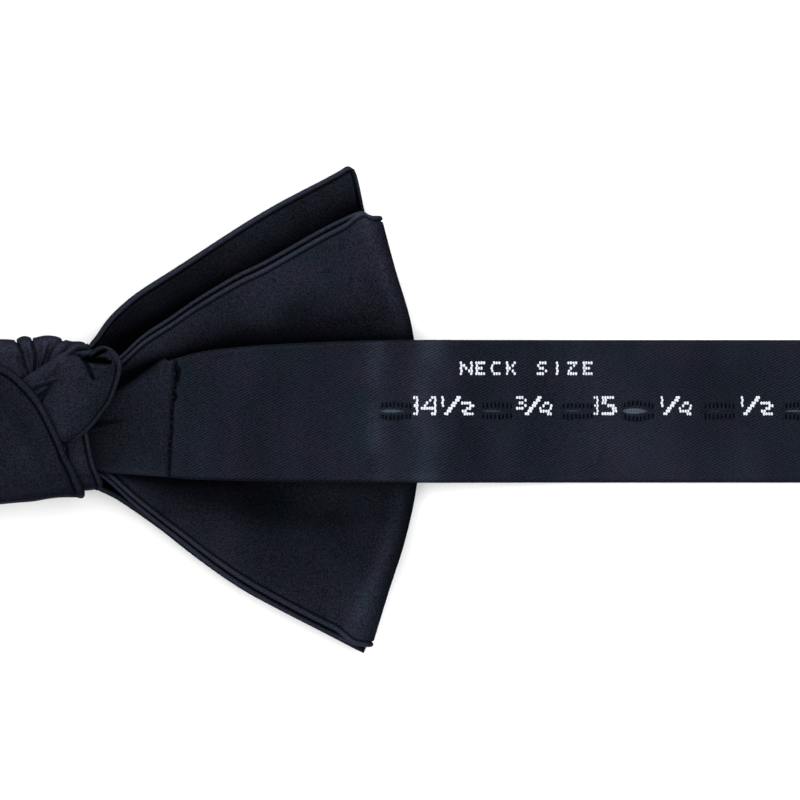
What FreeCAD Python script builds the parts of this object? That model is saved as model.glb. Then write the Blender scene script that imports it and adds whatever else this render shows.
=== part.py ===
"""A self-tied butterfly bow tie with an adjustable neckband, laid open on its face.

Row frame, millimetres: +X along the neckband towards its slotted, numbered half, +Y towards the chin as worn,
+Z out of the back of the bow, and the origin on the table under the middle of the knot.

The tie is two sewn halves of silk over interlining. Tied, they make a front bow and a back bow, each with a
folded loop on one side and a flat blade end on the other, gathered inside the knot. The right half's neckband
carries a twill tape with buttonholes for neck sizes, and the left half's ends in a metal hook for them.
Every fabric piece is a plain closed solid here. Each cover is a hollow shell round its interlining.
"""
import FreeCAD
import Part
import math
import os
from FreeCAD import Vector

# Driving dimensions of the bow
BOW_HALF_LENGTH = 58.1      # middle of the knot to the outermost edge of a loop
KNOT_HALF_LENGTH = 11.5     # half of the front knot, along the neckband
KNOT_HALF_HEIGHT = 11.3     # half of the front knot, from chin side to chest side
WING_ROOT = 12.0            # where a wing leaves the knot
BLADE = 1.4                 # one finished blade: two silks and an interlining
SILK = 0.35                 # silk with its seam allowance
FIT = 0.05                  # air between an interlining and its cover

# Driving dimensions of the neckband
BAND_WIDTH = 20.0
BAND = 1.3                  # silk tube with its interlining
STAY = 0.15                 # strip that backs the buttonholes
TAPE = 0.35                 # twill size tape
TAPE_WIDTH = 19.2
STAY_WIDTH = 9.0
SEAM_X = 24.1               # where the size tape begins
RIGHT_END = 203.0
LEFT_END = 236.0            # where the left band is folded for its hook
LEFT_SHIFT = -3.4           # the left band leaves the knot nearer the chest

# Hinges: each band folds up from the bow just outside the knot
HINGE_X = 18.5
HINGE_GAP = 0.3

# Buttonholes: the space to the next one depends on how wide the figure between them is
FIRST_SLOT = 55.2
SLOT_LENGTH = 4.2
SLOT_WIDTH = 0.5
STITCH_LENGTH = 5.2
STITCH_WIDTH = 3.0
AFTER_FIRST = 14.1
AFTER_WHOLE = 8.6
AFTER_PART = 11.3
SIZES = ["14 1/2", "3/4", "15", "1/4", "1/2", "3/4", "16", "1/4", "1/2", "3/4", "17", "1/4", "1/2"]
FIGURE_HEIGHT = 2.6
FIGURE_MIDDLE = 0.75        # the figures stand a little towards the chin side of the buttonholes
FIGURE_WEAVE = 0.06         # how far the white threads stand up
WORD_START = 64.4
WORD_END = 83.6
WORD_LOW = 5.0
WORD_HIGH = 6.9

# Heights above the table
BAND_LEAVES_KNOT = 12.6     # underside of a band at its hinge
KNOT_BACK = 12.9            # where the bands that are tied at the back of the knot begin
TOP_BAND = 17.2             # underside of the left band where it crosses the knot

# How a band comes down from the knot to the table
DOWN_SLOPE = -8.0           # it falls gently over the wing
EDGE_SLOPE = -19.0          # and more steeply past it
OVER_WING = 37.0            # length of the gentle run
EDGE_RADIUS = 45.0
TABLE_RADIUS = 45.0

# The hook
WIRE = 0.8                  # radius of the bar that the tab holds
BAR_CLEAR = 0.15
TAB = 0.5
TAB_WIDTH = 14.0
HOOK_WIDTH = 19.0
HOOK_PLATE = 1.2
T_WIDTH = 4.0


def save(name, shape):
    """Writes one named sub-part."""
    os.makedirs("parts", exist_ok=True)
    shape.exportStep("parts/" + name + ".step")
    spans = shape.BoundBox
    sides = [round(v, 1) for v in (spans.XMin, spans.XMax, spans.YMin, spans.YMax, spans.ZMin, spans.ZMax)]
    state = "valid" if shape.isValid() else "NOT VALID"
    print(name, sides, state, len(shape.Solids), round(shape.Volume, 1))


def box(x0, x1, y0, y1, z0, z1):
    return Part.makeBox(x1 - x0, y1 - y0, z1 - z0, Vector(x0, y0, z0))


def mirrored(shape):
    """The same shape on the other side of the knot."""
    return shape.mirror(Vector(0, 0, 0), Vector(1, 0, 0))


def wire_of(points):
    """A closed outline in the XY plane. A three-point item is an arc's start, middle and end."""
    edges = []
    for item in points:
        flat = [Vector(x, y, 0) for x, y in item]
        if len(flat) == 3:
            edges.append(Part.Arc(*flat).toShape())
        else:
            edges.append(Part.LineSegment(*flat).toShape())
    return Part.Wire(edges)


def profile_slab(lower, upper, width):
    """An XZ profile between a lower and an upper line of (x, z) points, as wide as width each way along Y."""
    points = [Vector(x, -width, z) for x, z in lower + upper[::-1]]
    face = Part.Face(Part.makePolygon(points + points[:1]))
    return face.extrude(Vector(0, 2 * width, 0))


# ---------------------------------------------------------------- the wings of the bow

def end_outline():
    """The flat end of a blade: two slightly curved edges that fan out from the knot, and a bowed end."""
    top = [(WING_ROOT, 8.4), (30.0, 23.4), (49.3, 33.8)]
    end = [(49.3, 33.8), (54.6, 0.0), (51.0, -33.6)]
    bottom = [(51.0, -33.6), (30.0, -22.3), (WING_ROOT, -9.6)]
    return wire_of([top, end, bottom, [bottom[-1], top[0]]])


def loop_outline():
    """The outline of a folded loop: lower at the chin side than the flat end, and longer in the middle."""
    top = [(WING_ROOT, 4.2), (30.0, 17.0), (52.2, 27.6)]
    end = [(52.2, 27.6), (BOW_HALF_LENGTH, -1.6), (52.0, -33.0)]
    bottom = [(52.0, -33.0), (30.0, -21.6), (WING_ROOT, -8.2)]
    return wire_of([top, end, bottom, [bottom[-1], top[0]]])


def wing(outline, lower, upper, inset):
    """What lies inside an outline and between two height lines, drawn in by inset on every side."""
    face = Part.Face(outline)
    if inset:
        face = face.makeOffset2D(-inset)
    prism = face.extrude(Vector(0, 0, 30))
    low = [(x, z + inset) for x, z in lower]
    high = [(x, z - inset) for x, z in upper]
    return prism.common(profile_slab(low, high, 60))


def loop_gap(lower, upper, layer, inset):
    """The space inside a loop, open at the chin and chest sides and closed at the fold."""
    low = [(x, z + layer - inset) for x, z in lower]
    high = [(x, z - layer + inset) for x, z in upper]
    space = profile_slab(low, high, 60)
    fold = Part.Face(loop_outline()).extrude(Vector(0, 0, 30))
    fold.translate(Vector(-2 * layer - inset, 0, 0))
    open_sides = box(WING_ROOT + 7 + inset, 46, -50, 50, 0, 30)
    return space.common(fold.fuse(open_sides)).common(box(WING_ROOT + 7 - inset, 70, -50, 50, 0, 30))


def make_flat_end(lower, upper):
    """(cover, interlining) of a blade's flat end."""
    solid = wing(end_outline(), lower, upper, 0)
    cover = solid.cut(wing(end_outline(), lower, upper, SILK))
    return cover, wing(end_outline(), lower, upper, SILK + FIT)


def make_loop(lower, upper):
    """(cover, interlining) of a folded loop. The blade lies double, with a thin open space between."""
    def part(inset):
        return wing(loop_outline(), lower, upper, inset).cut(loop_gap(lower, upper, BLADE, inset))
    cover = part(0).cut(part(SILK))
    return cover, part(SILK + FIT)


def make_wings():
    """The front bow lies on the table and the back bow on top of it. Their loops are on opposite sides."""
    front_end = ([(WING_ROOT, 3.3), (30, 0.9), (46, 0), (60, 0)],
                 [(WING_ROOT, 6.2), (30, 2.5), (46, BLADE), (60, BLADE)])
    back_loop = ([(WING_ROOT, 6.8), (30, 3.2), (46, 2.0), (60, 2.0)],
                 [(WING_ROOT, 11.4), (30, 8.4), (46, 6.4), (60, 6.0)])
    front_loop = ([(WING_ROOT, 2.2), (30, 0.6), (46, 0), (60, 0)],
                  [(WING_ROOT, 6.4), (30, 4.8), (46, 3.9), (60, 3.9)])
    back_end = ([(WING_ROOT, 6.9), (30, 5.4), (46, 4.5), (60, 4.5)],
                [(WING_ROOT, 9.6), (30, 7.0), (46, 5.9), (60, 5.9)])
    for name, make, heights, side in (("front_right_end", make_flat_end, front_end, 1),
                                      ("back_right_loop", make_loop, back_loop, 1),
                                      ("front_left_loop", make_loop, front_loop, -1),
                                      ("back_left_end", make_flat_end, back_end, -1)):
        cover, lining = make(*heights)
        if side < 0:
            cover, lining = mirrored(cover), mirrored(lining)
        save(name + "_cover", cover)
        save(name + "_interlining", lining)


# ---------------------------------------------------------------- the knot

def rounded_block(x, y0, y1, z0, z1, radius):
    """A block along X whose four long edges are round."""
    block = box(-x, x, y0, y1, z0, z1)
    long_edges = [e for e in block.Edges if abs(e.tangentAt(e.FirstParameter).x) > 0.9]
    return block.makeFillet(radius, long_edges)


def make_gathers():
    """The pinched middles of the front bow and of the back bow, which join their two wings."""
    reach = WING_ROOT - 0.1
    save("front_bow_gather", rounded_block(reach, -8.6, 8.2, 2.3, 6.3, 1.4))
    save("back_bow_gather", rounded_block(reach, -8.0, 7.2, 6.7, 10.9, 1.6))


def make_knot_wrap():
    """The band that goes over the front of the knot, round both gathered middles."""
    outer = rounded_block(KNOT_HALF_LENGTH, -KNOT_HALF_HEIGHT - 0.4, KNOT_HALF_HEIGHT - 1.0, 0, 12.5, 3.6)
    inner = rounded_block(KNOT_HALF_LENGTH + 1, -9.2, 8.8, 1.9, 11.3, 2.4)
    save("knot_front_wrap", outer.cut(inner))


def plate(points, z0, z1):
    """A flat plate over a closed row of (x, y) points."""
    face = Part.Face(Part.makePolygon([Vector(x, y, z0) for x, y in points + points[:1]]))
    return face.extrude(Vector(0, 0, z1 - z0))


def make_knot_back():
    """The bands tied at the back of the knot: pleats from over the top, a cross band and a tucked flap."""
    pleats = plate([(-10.5, 6.9), (-10.5, 9.6), (12.2, 9.2), (10.4, 7.9), (8.4, 7.2), (7.2, 4.4),
                    (5.6, 2.4), (2.6, 4.0)], KNOT_BACK, 15.9)
    save("knot_top_pleats", pleats)
    cross = plate([(7.6, -4.9), (12.4, -4.9), (14.5, -10.0), (12.2, -11.0), (7.6, -11.0)], 14.3, 15.7)
    save("knot_cross_band", cross)
    flap = plate([(8.7, 7.0), (11.0, 7.6), (14.6, 8.6), (16.3, 8.1), (17.0, 6.6), (16.7, 4.4), (15.4, 1.1),
                  (13.2, -1.7), (9.6, -4.2), (6.0, 1.6), (7.6, 4.4)], 14.3, 17.0)
    save("knot_flap", flap)


def make_left_turn():
    """The left band crosses the back of the knot to a slanting edge and goes round to the front below it."""
    lower = [(-HINGE_X + HINGE_GAP, BAND_LEAVES_KNOT), (-14.0, 13.4), (0.0, TOP_BAND), (12.5, TOP_BAND)]
    upper = [(x, z + BAND) for x, z in lower]
    outline = [(-HINGE_X + HINGE_GAP, 6.5), (1.1, 6.0), (5.4, 0.9), (8.6, -5.3), (11.6, -11.5), (6.0, -12.3),
               (0.5, -13.1), (-HINGE_X + HINGE_GAP, -13.4)]
    crossing = profile_slab(lower, upper, 30).common(plate(outline, 0, 30))
    edge = plate([(-9.5, -11.9), (10.9, -11.9), (10.9, -13.1), (-9.5, -13.1)], 7.0, 15.6)
    save("left_band_turn", crossing.fuse(edge.common(plate(outline, 0, 30))).removeSplitter())


# ---------------------------------------------------------------- the neckband

def route(commands, start, heading):
    """A line of straight runs and tangent arcs: (length, 0) is straight, (turn in degrees, radius) an arc."""
    place, angle, found = Vector(start[0], 0, start[1]), math.radians(heading), []
    for first, radius in commands:
        ahead = Vector(math.cos(angle), 0, math.sin(angle))
        if not radius:
            end = place + ahead * first
            found.append(("run", place, end, angle))
            place = end
            continue
        turn = math.radians(first)
        side = 1 if turn > 0 else -1
        centre = place + Vector(-ahead.z, 0, ahead.x) * radius * side
        found.append(("arc", centre, radius * side, angle, turn))
        angle += turn
        place = centre - Vector(-math.sin(angle), 0, math.cos(angle)) * radius * side
    return found, place


def offset_edges(found, lift):
    """The edges of a route moved by lift to its left, with its first and last point."""
    edges = []
    for part in found:
        if part[0] == "run":
            _, a, b, angle = part
            up = Vector(-math.sin(angle), 0, math.cos(angle)) * lift
            edges.append((a + up, None, b + up))
        else:
            _, centre, signed, angle, turn = part
            marks = [centre - Vector(-math.sin(a), 0, math.cos(a)) * (signed - lift)
                     for a in (angle, angle + turn / 2, angle + turn)]
            edges.append(tuple(marks))
    return edges


def strap(found, low, high, y0, y1):
    """A strap that follows a route: from low to high above it, and from y0 to y1 across."""
    bottom, top = offset_edges(found, low), offset_edges(found, high)
    made = []
    for a, m, b in bottom:
        made.append(Part.Arc(a, m, b).toShape() if m else Part.LineSegment(a, b).toShape())
    made.append(Part.LineSegment(bottom[-1][2], top[-1][2]).toShape())
    for a, m, b in reversed(top):
        made.append(Part.Arc(b, m, a).toShape() if m else Part.LineSegment(b, a).toShape())
    made.append(Part.LineSegment(top[0][0], bottom[0][0]).toShape())
    face = Part.Face(Part.Wire(made))
    face.translate(Vector(0, y0, 0))
    return face.extrude(Vector(0, y1 - y0, 0))


def band_route(length):
    """A band's underside from its hinge: over the wing, down past its edge and flat along the table."""
    start = (HINGE_X + HINGE_GAP, BAND_LEAVES_KNOT)
    bends = [(OVER_WING, 0), (EDGE_SLOPE - DOWN_SLOPE, EDGE_RADIUS)]
    _, edge = route(bends, start, DOWN_SLOPE)
    arc_drop = TABLE_RADIUS * (1 - math.cos(math.radians(EDGE_SLOPE)))
    fall = (edge.z - arc_drop) / math.sin(math.radians(-EDGE_SLOPE))
    bends += [(fall, 0), (-EDGE_SLOPE, TABLE_RADIUS)]
    _, flat = route(bends, start, DOWN_SLOPE)
    return route(bends + [(length - flat.x, 0)], start, DOWN_SLOPE)[0]


def taper(shift):
    """The plan of a band: drawn in where it leaves the knot and full width from the edge of the wing."""
    half, end = BAND_WIDTH / 2, LEFT_END + 20
    chin = [(HINGE_X - 2, 5.4), (32.0, 9.0), (50.0, half)]
    chest = [(50.0, -half), (32.0, -9.7), (HINGE_X - 2, -8.7)]
    outline = wire_of([chin, [chin[-1], (end, half)], [(end, half), (end, -half)], [(end, -half), chest[0]],
                       chest, [chest[-1], chin[0]]])
    prism = Part.Face(outline).extrude(Vector(0, 0, 40))
    prism.translate(Vector(0, shift, 0))
    return prism


def make_band_pair(found, plan, shift):
    """(cover, interlining): a silk tube along the whole band, and what stiffens it."""
    half, inner = BAND_WIDTH / 2, BAND_WIDTH / 2 - SILK
    whole = strap(found, 0, BAND, shift - half, shift + half).common(plan)
    narrow = plan.copy()
    narrow.scale(1 - 2 * SILK / BAND_WIDTH, Vector(HINGE_X, shift, 0))
    narrow.translate(Vector(2.0, 0, 0))
    keep = box(-400, LEFT_END - 1, -40, 40, -1, 40)
    if found[-1][2].x < LEFT_END - 1:
        keep = box(-400, found[-1][2].x - SILK, -40, 40, -1, 40)
    hollow = strap(found, SILK, BAND - SILK, shift - inner, shift + inner).common(narrow).common(keep)
    shrink = SILK + FIT
    filling = strap(found, shrink, BAND - shrink, shift - inner + FIT, shift + inner - FIT)
    filling = filling.common(narrow).common(keep)
    filling = filling.common(box(HINGE_X + 2.4, 400, -40, 40, -1, 40))
    return whole.cut(hollow), filling


def slot_places():
    """The middle of each buttonhole along the band."""
    places, x = [], FIRST_SLOT
    for size in SIZES:
        places.append(x)
        x += AFTER_FIRST if size == SIZES[0] else (AFTER_PART if "/" in size else AFTER_WHOLE)
    return places


def figure_places():
    """The middle and width of each woven size, halfway to the next buttonhole."""
    places = slot_places()
    nexts = places[1:] + [places[-1] + AFTER_PART]
    found = []
    for size, here, there in zip(SIZES, places, nexts):
        width = 8.5 if size == SIZES[0] else (4.8 if "/" in size else 3.2)
        found.append(((here + there) / 2, width))
    return found


def slot_cutters(width, length):
    """One upright block per buttonhole, standing through the band."""
    cutters = [box(x - length / 2, x + length / 2, -width / 2, width / 2, -1, 30) for x in slot_places()]
    return Part.makeCompound(cutters)


def make_right_band():
    """Silk up to the seam, then the size tape over its stay, with edged buttonholes and woven figures."""
    found = band_route(RIGHT_END)
    plan = taper(0)
    cover, filling = make_band_pair(found, plan, 0)
    save("right_band_cover", cover)
    save("right_band_interlining", filling)
    after_seam = box(SEAM_X, 400, -40, 40, -1, 40)
    slots = slot_cutters(SLOT_WIDTH, SLOT_LENGTH)
    half = TAPE_WIDTH / 2
    stay = strap(found, BAND, BAND + STAY, -STAY_WIDTH / 2, STAY_WIDTH / 2)
    stay = stay.common(box(FIRST_SLOT - 8, RIGHT_END - 3, -40, 40, -1, 40))
    save("slot_stay", stay)
    tape = strap(found, BAND, BAND + STAY + TAPE, -half, half).common(plan).common(after_seam)
    pocket = strap(found, BAND, BAND + STAY, 1.2 - half, half - 1.2).common(
        box(SEAM_X + 1.2, RIGHT_END - 1.2, -40, 40, -1, 40)).common(plan)
    save("size_tape", tape.cut(pocket).cut(slots))
    top = BAND + STAY + TAPE
    rings = slot_cutters(STITCH_WIDTH, STITCH_LENGTH).common(strap(found, top, top + 0.1, -half, half))
    save("buttonhole_stitches", Part.makeCompound(rings.cut(slots).Solids))
    raised = strap(found, top, top + FIGURE_WEAVE, -half, half)
    low, high = FIGURE_MIDDLE - FIGURE_HEIGHT / 2, FIGURE_MIDDLE + FIGURE_HEIGHT / 2
    marks = [box(x - width / 2, x + width / 2, low, high, -1, 40) for x, width in figure_places()]
    marks.append(box(WORD_START, WORD_END, WORD_LOW, WORD_HIGH, -1, 40))
    save("woven_figures", Part.makeCompound(raised.common(Part.makeCompound(marks)).Solids))
    seam = strap(found, BAND, top, -9.2, 7.0)
    threads = [seam.common(box(SEAM_X - 0.45, SEAM_X - 0.05, y, y + 1.0, -1, 40)) for y in range(-8, 7, 2)]
    save("tape_seam_stitches", Part.makeCompound([s for t in threads for s in t.Solids]))
    end = HINGE_X - HINGE_GAP
    root_low = [(7.6, KNOT_BACK), (14.0, KNOT_BACK), (end, BAND_LEAVES_KNOT)]
    root_high = [(7.6, KNOT_BACK + 1.2), (14.0, KNOT_BACK + 1.2), (end, BAND_LEAVES_KNOT + BAND)]
    root_plan = plate([(7.7, 3.8), (16.0, 4.9), (HINGE_X, 5.6), (HINGE_X, -8.8), (7.7, -8.2)], 0, 30)
    save("right_band_root", profile_slab(root_low, root_high, 30).common(root_plan))


def make_left_band():
    """Silk on both faces, ending in a narrow tab that is folded round the hook's bar."""
    found = band_route(LEFT_END)
    plan = taper(LEFT_SHIFT)
    cover, filling = make_band_pair(found, plan, LEFT_SHIFT)
    save("left_band_cover", mirrored(cover))
    save("left_band_interlining", mirrored(filling))
    bar_x, bar_z = hook_bar()
    inner, outer = WIRE + BAR_CLEAR, WIRE + BAR_CLEAR + TAB
    along = Vector(0, 1, 0)
    eye = Part.makeCylinder(outer, TAB_WIDTH, Vector(bar_x, LEFT_SHIFT - TAB_WIDTH / 2, bar_z), along)
    bore = Part.makeCylinder(inner, TAB_WIDTH, Vector(bar_x, LEFT_SHIFT - TAB_WIDTH / 2, bar_z), along)
    low, high = LEFT_SHIFT - TAB_WIDTH / 2, LEFT_SHIFT + TAB_WIDTH / 2
    neck = box(LEFT_END - 12, bar_x, low, high, BAND, BAND + 2 * TAB)
    save("hook_tab", mirrored(eye.fuse(neck).cut(bore).removeSplitter()))
    top = BAND + 2 * TAB
    rows = [box(LEFT_END - x, LEFT_END - x + 0.5, low + 1, high - 1, top, top + 0.25) for x in (3.0, 10.0)]
    save("tab_stitches", mirrored(Part.makeCompound(rows)))


# ---------------------------------------------------------------- the hook

def hook_bar():
    """Where the hook's bar lies, before it is turned to the left: just past the end of the band."""
    return LEFT_END + 3.2, WIRE + BAR_CLEAR + TAB


def make_hook():
    """A flat metal frame on a round bar, with a tongue that ends in a T."""
    bar_x, bar_z = hook_bar()
    half = HOOK_WIDTH / 2
    bar_start = Vector(bar_x, LEFT_SHIFT - half + 0.5, bar_z)
    bar = Part.makeCylinder(WIRE, HOOK_WIDTH - 1, bar_start, Vector(0, 1, 0))
    low, high = 0, HOOK_PLATE
    frame = box(bar_x - 1.2, bar_x + 6.0, LEFT_SHIFT - half, LEFT_SHIFT + half, low, high)
    frame = frame.makeFillet(1.0, [e for e in frame.Edges if abs(e.tangentAt(e.FirstParameter).z) > 0.9])
    window = box(bar_x - 3, bar_x + 3.6, LEFT_SHIFT - half + 1.9, LEFT_SHIFT + half - 1.9, 0, 5)
    tongue = box(bar_x + 5.5, bar_x + 11.0, LEFT_SHIFT - 0.9, LEFT_SHIFT + 0.9, low, high)
    tee = box(bar_x + 10.4, bar_x + 12.2, LEFT_SHIFT - T_WIDTH / 2, LEFT_SHIFT + T_WIDTH / 2, low, high)
    save("t_hook", mirrored(frame.cut(window).fuse(bar).fuse(tongue).fuse(tee).removeSplitter()))


make_wings()
make_gathers()
make_knot_wrap()
make_knot_back()
make_left_turn()
make_right_band()
make_left_band()
make_hook()
print("slots at", slot_places(), "hook bar at", hook_bar())
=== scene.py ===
"""A self-tied butterfly bow tie in midnight-blue silk, lying on its face with its adjustable neckband open.

Every fabric piece is a closed sheet worked out on a grid: a middle surface, and a half thickness that falls to
nothing at the edge as a rolled hem does. Sizes inside the functions are in millimetres.
"""

import math

import bpy
import numpy as np
from bpy.props import FloatProperty, FloatVectorProperty, PointerProperty
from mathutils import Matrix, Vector


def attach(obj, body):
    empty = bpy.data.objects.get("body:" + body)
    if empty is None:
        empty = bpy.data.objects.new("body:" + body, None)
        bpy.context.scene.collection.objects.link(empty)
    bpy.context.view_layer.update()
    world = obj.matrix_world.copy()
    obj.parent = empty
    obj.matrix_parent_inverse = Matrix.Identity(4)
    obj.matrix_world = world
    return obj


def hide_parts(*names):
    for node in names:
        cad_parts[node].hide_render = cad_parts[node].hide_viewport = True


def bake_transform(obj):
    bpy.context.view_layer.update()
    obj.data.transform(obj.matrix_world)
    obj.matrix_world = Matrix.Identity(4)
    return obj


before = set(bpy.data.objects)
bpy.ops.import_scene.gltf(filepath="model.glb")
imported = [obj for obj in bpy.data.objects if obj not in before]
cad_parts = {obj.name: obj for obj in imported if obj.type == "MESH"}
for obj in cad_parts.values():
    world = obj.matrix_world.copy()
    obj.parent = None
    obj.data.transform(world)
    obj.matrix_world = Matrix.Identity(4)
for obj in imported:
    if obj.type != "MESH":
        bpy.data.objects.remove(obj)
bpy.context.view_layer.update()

bl_info = {
    "name": "Bow tie",
    "version": (1, 0, 0),
    "blender": (4, 5, 0),
    "location": "3D View > Sidebar > Bow tie",
    "description": "Makes a self-tied bow tie with an adjustable neckband",
    "category": "Object",
}

MM = 0.001


# ---------------------------------------------------------------- settings

def length(name, description, default, low, high):
    """A length property, given in millimetres."""
    return FloatProperty(name=name, description=description, default=default * MM, min=low * MM, max=high * MM,
                         unit="LENGTH")


def colour(name, description, default):
    """A colour property, in linear light."""
    return FloatVectorProperty(name=name, description=description, default=default, size=3, min=0, max=1,
                               subtype="COLOR")


def power(name, description, default):
    """A light's power property."""
    return FloatProperty(name=name, description=description, default=default, min=0, unit="POWER")


class BowTieSizes(bpy.types.PropertyGroup):
    """Sizes of the cloth that a maker would change."""
    blade: length("Blade", "Thickness of a finished blade: two silks and an interlining", 1.2, 0.4, 3)
    hem: length("Hem roll", "Radius of the rolled edge of a blade", 0.42, 0.1, 1)
    puff: length("Wing ridges", "Height of the two soft ridges that run out along a wing", 9.5, 0, 12)
    pleat: length("Pleat depth", "Depth of the grooves between the pleats at the top of the knot", 0.52, 0, 2)
    slit: length("Buttonhole opening", "Widest opening of a buttonhole", 0.62, 0.1, 1.5)


class BowTieColours(bpy.types.PropertyGroup):
    """Colours of the cloth, threads and metal."""
    silk: colour("Silk", "Midnight-blue silk satin", (0.0064, 0.0073, 0.0112))
    tape: colour("Size tape", "Midnight-blue twill tape", (0.0068, 0.0081, 0.0125))
    thread: colour("Thread", "Dark sewing thread", (0.0075, 0.0098, 0.0150))
    # Painted shade: near-black pads stand for the shade in the gaps between a buttonhole's stitches.
    gap: colour("Needle gaps", "The dark between a buttonhole's stitches", (0.0010, 0.0013, 0.0018))
    stay: colour("Stay", "Cloth that backs the buttonholes", (0.060, 0.082, 0.112))
    figures: colour("Figures", "White woven figures", (0.50, 0.52, 0.56))
    metal: colour("Hook", "Nickel-plated hook", (0.62, 0.62, 0.64))
    floor: colour("Floor", "Plain pale floor", (0.80, 0.80, 0.80))


class BowTieLight(bpy.types.PropertyGroup):
    """Strengths of the studio's lights and the camera's height."""
    over: power("Overhead light", "Power of the large softbox over the table", 22.0)
    chin: power("Chin-side light", "Power of the low softbox on the chin side", 22.0)
    chest: power("Chest-side light", "Power of the low softbox on the chest side", 12.0)
    outer: power("Outer light", "Power of the softbox beyond the neckband's end", 4.0)
    sky: FloatProperty(name="Room", description="Brightness of the pale room round the table", default=0.22, min=0)
    height: length("Camera height", "Height of the camera above the table", 3000, 300, 6000)


def sizes():
    """The sizes in use, in metres."""
    return bpy.context.scene.bow_tie_sizes


def colours():
    """The colours in use."""
    return bpy.context.scene.bow_tie_colours


# ---------------------------------------------------------------- lines and surfaces

def catmull(a, b, c, d, f):
    """The cubic from b to c whose slopes there are half of c - a and half of d - b."""
    return 0.5 * (2 * b + (c - a) * f + (2 * a - 5 * b + 4 * c - d) * f**2 + (3 * b - a - 3 * c + d) * f**3)


def lengths_along(grid, axis):
    """Running length of each line of a grid of points, from 0."""
    pieces = np.linalg.norm(np.diff(grid, axis=axis), axis=-1)
    return np.insert(np.cumsum(pieces, axis=axis), 0, 0, axis=axis)


def evenly(line, count):
    """Points at even distances along a line of straight pieces."""
    run = lengths_along(line, 0)
    wanted = np.linspace(0, run[-1], count)
    return np.column_stack([np.interp(wanted, run, column) for column in line.T])


def smooth_line(points, count):
    """Points evenly spaced by length along the Catmull-Rom line through the given points."""
    p = np.asarray(points, float)
    q = np.vstack([2 * p[0] - p[1], p, 2 * p[-1] - p[-2]])
    t = np.linspace(0, len(p) - 1, 48 * (len(p) - 1) + 1)
    i = np.minimum(t.astype(int), len(p) - 2)
    return evenly(catmull(q[i], q[i + 1], q[i + 2], q[i + 3], (t - i)[:, None]), count)


def on_line(line, share):
    """The points at shares of the way along a line of evenly spaced points."""
    at = np.clip(share, 0, 1) * (len(line) - 1)
    return np.stack([np.interp(at, np.arange(len(line)), column) for column in line.T], axis=-1)


def height_at(x, points):
    """A smooth line through (x, y) points, read off at each x."""
    line = smooth_line(points, 400)
    return np.interp(x, line[:, 0], line[:, 1])


def skin(guides):
    """A surface over guide lines as a function of (u, v): u runs along every line by its length, and v crosses the
    lines in order, on the cubic through the nearest four."""
    return skin_of_table(np.array([smooth_line(guide, 241) for guide in guides]))


def skin_of_table(table):
    """As skin, for guide lines that already have one number of points each."""
    lines, along = table.shape[:2]
    table = np.concatenate([2 * table[:1] - table[1:2], table, 2 * table[-1:] - table[-2:-1]])

    def place(u, v):
        """The point at (u, v): straight between a line's own points, and cubic across four lines."""
        u, v = np.broadcast_arrays(u, v)
        s = np.clip(v, 0, 1) * (lines - 1)
        i = np.minimum(s.astype(int), lines - 2)
        w = np.clip(u, 0, 1) * (along - 1)
        j = np.minimum(w.astype(int), along - 2)
        g = (w - j)[..., None]
        near = [table[i + k, j] * (1 - g) + table[i + k, j + 1] * g for k in range(4)]
        return catmull(*near, (s - i)[..., None])

    return place


def crease(x, y, line, width):
    """1 along a smooth line in plan, falling off each side as a bell curve of that half width."""
    path = smooth_line(line, 60)
    away = np.min((x[..., None] - path[:, 0]) ** 2 + (y[..., None] - path[:, 1]) ** 2, axis=-1)
    return np.exp(-away / width**2)


def bell(x, middle, width, order=2):
    """1 at the middle, falling off each side as e to the minus (distance / width) to the order."""
    return np.exp(-(((x - middle) / width) ** order))


def quarter_round(distance, radius, least=0):
    """0 at an edge and 1 from the radius on, with a quarter of a circle between."""
    return np.sqrt(np.clip(1 - (1 - np.minimum(distance / radius, 1)) ** 2, least, 1))


def step(x, low, high):
    """0 up to low, 1 from high, and a smooth cubic between."""
    t = np.clip((x - low) / (high - low), 0, 1)
    return t * t * (3 - 2 * t)


def ripple(x, y, size, seed):
    """Soft unevenness between -1 and 1: random heights on a square lattice of that size, joined by smooth steps."""
    lattice = np.random.default_rng(seed).uniform(-1, 1, (96, 96))
    a, b = x / size + 31.7, y / size + 47.3
    i, j = np.floor(a).astype(int), np.floor(b).astype(int)
    f, g = step(a - i, 0, 1), step(b - j, 0, 1)
    i, j = i % 95, j % 95
    near = lattice[i, j] * (1 - g) + lattice[i, j + 1] * g
    far = lattice[i + 1, j] * (1 - g) + lattice[i + 1, j + 1] * g
    return near * (1 - f) + far * f


# Distances from a hem at which a sheet's grid has its outermost lines
EDGE_STEPS = np.array([0, 0.02, 0.07, 0.14, 0.22, 0.31, 0.40, 0.50, 0.60, 0.69, 0.77, 0.84, 0.91, 0.98, 1.05, 1.13,
                       1.22, 1.35, 1.55])


def spread(length, cells):
    """Distances along lines of the given lengths: close together at both ends, where a hem rolls, and even between."""
    length = np.asarray(length, float)[..., None]
    first = EDGE_STEPS * np.minimum(1, length / (2.5 * EDGE_STEPS[-1]))
    inner = length - 2 * first[..., -1:]
    middle = first[..., -1:] + inner * np.linspace(0, 1, cells + 2)[1:-1]
    return np.concatenate([first, middle, length - first[..., ::-1]], axis=-1)


def hem(distance, half, roll, wide, bead, groove):
    """(half thickness, depth of the groove) of cloth at a distance from its edge: a rounded rise up to the full half
    thickness, then a low flat bead that ends in the fine groove where the seam is pressed, wide from the edge."""
    rise = np.clip(1 - (1 - np.minimum(distance / roll, 1)) ** 2.6, 0, 1) ** (1 / 2.6)
    swell = bead * bell(distance / wide, 0.5, 0.36, 4)
    cut = groove * bell(distance, wide, 0.12)
    return half * rise * (1 + swell - cut), cut


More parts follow.
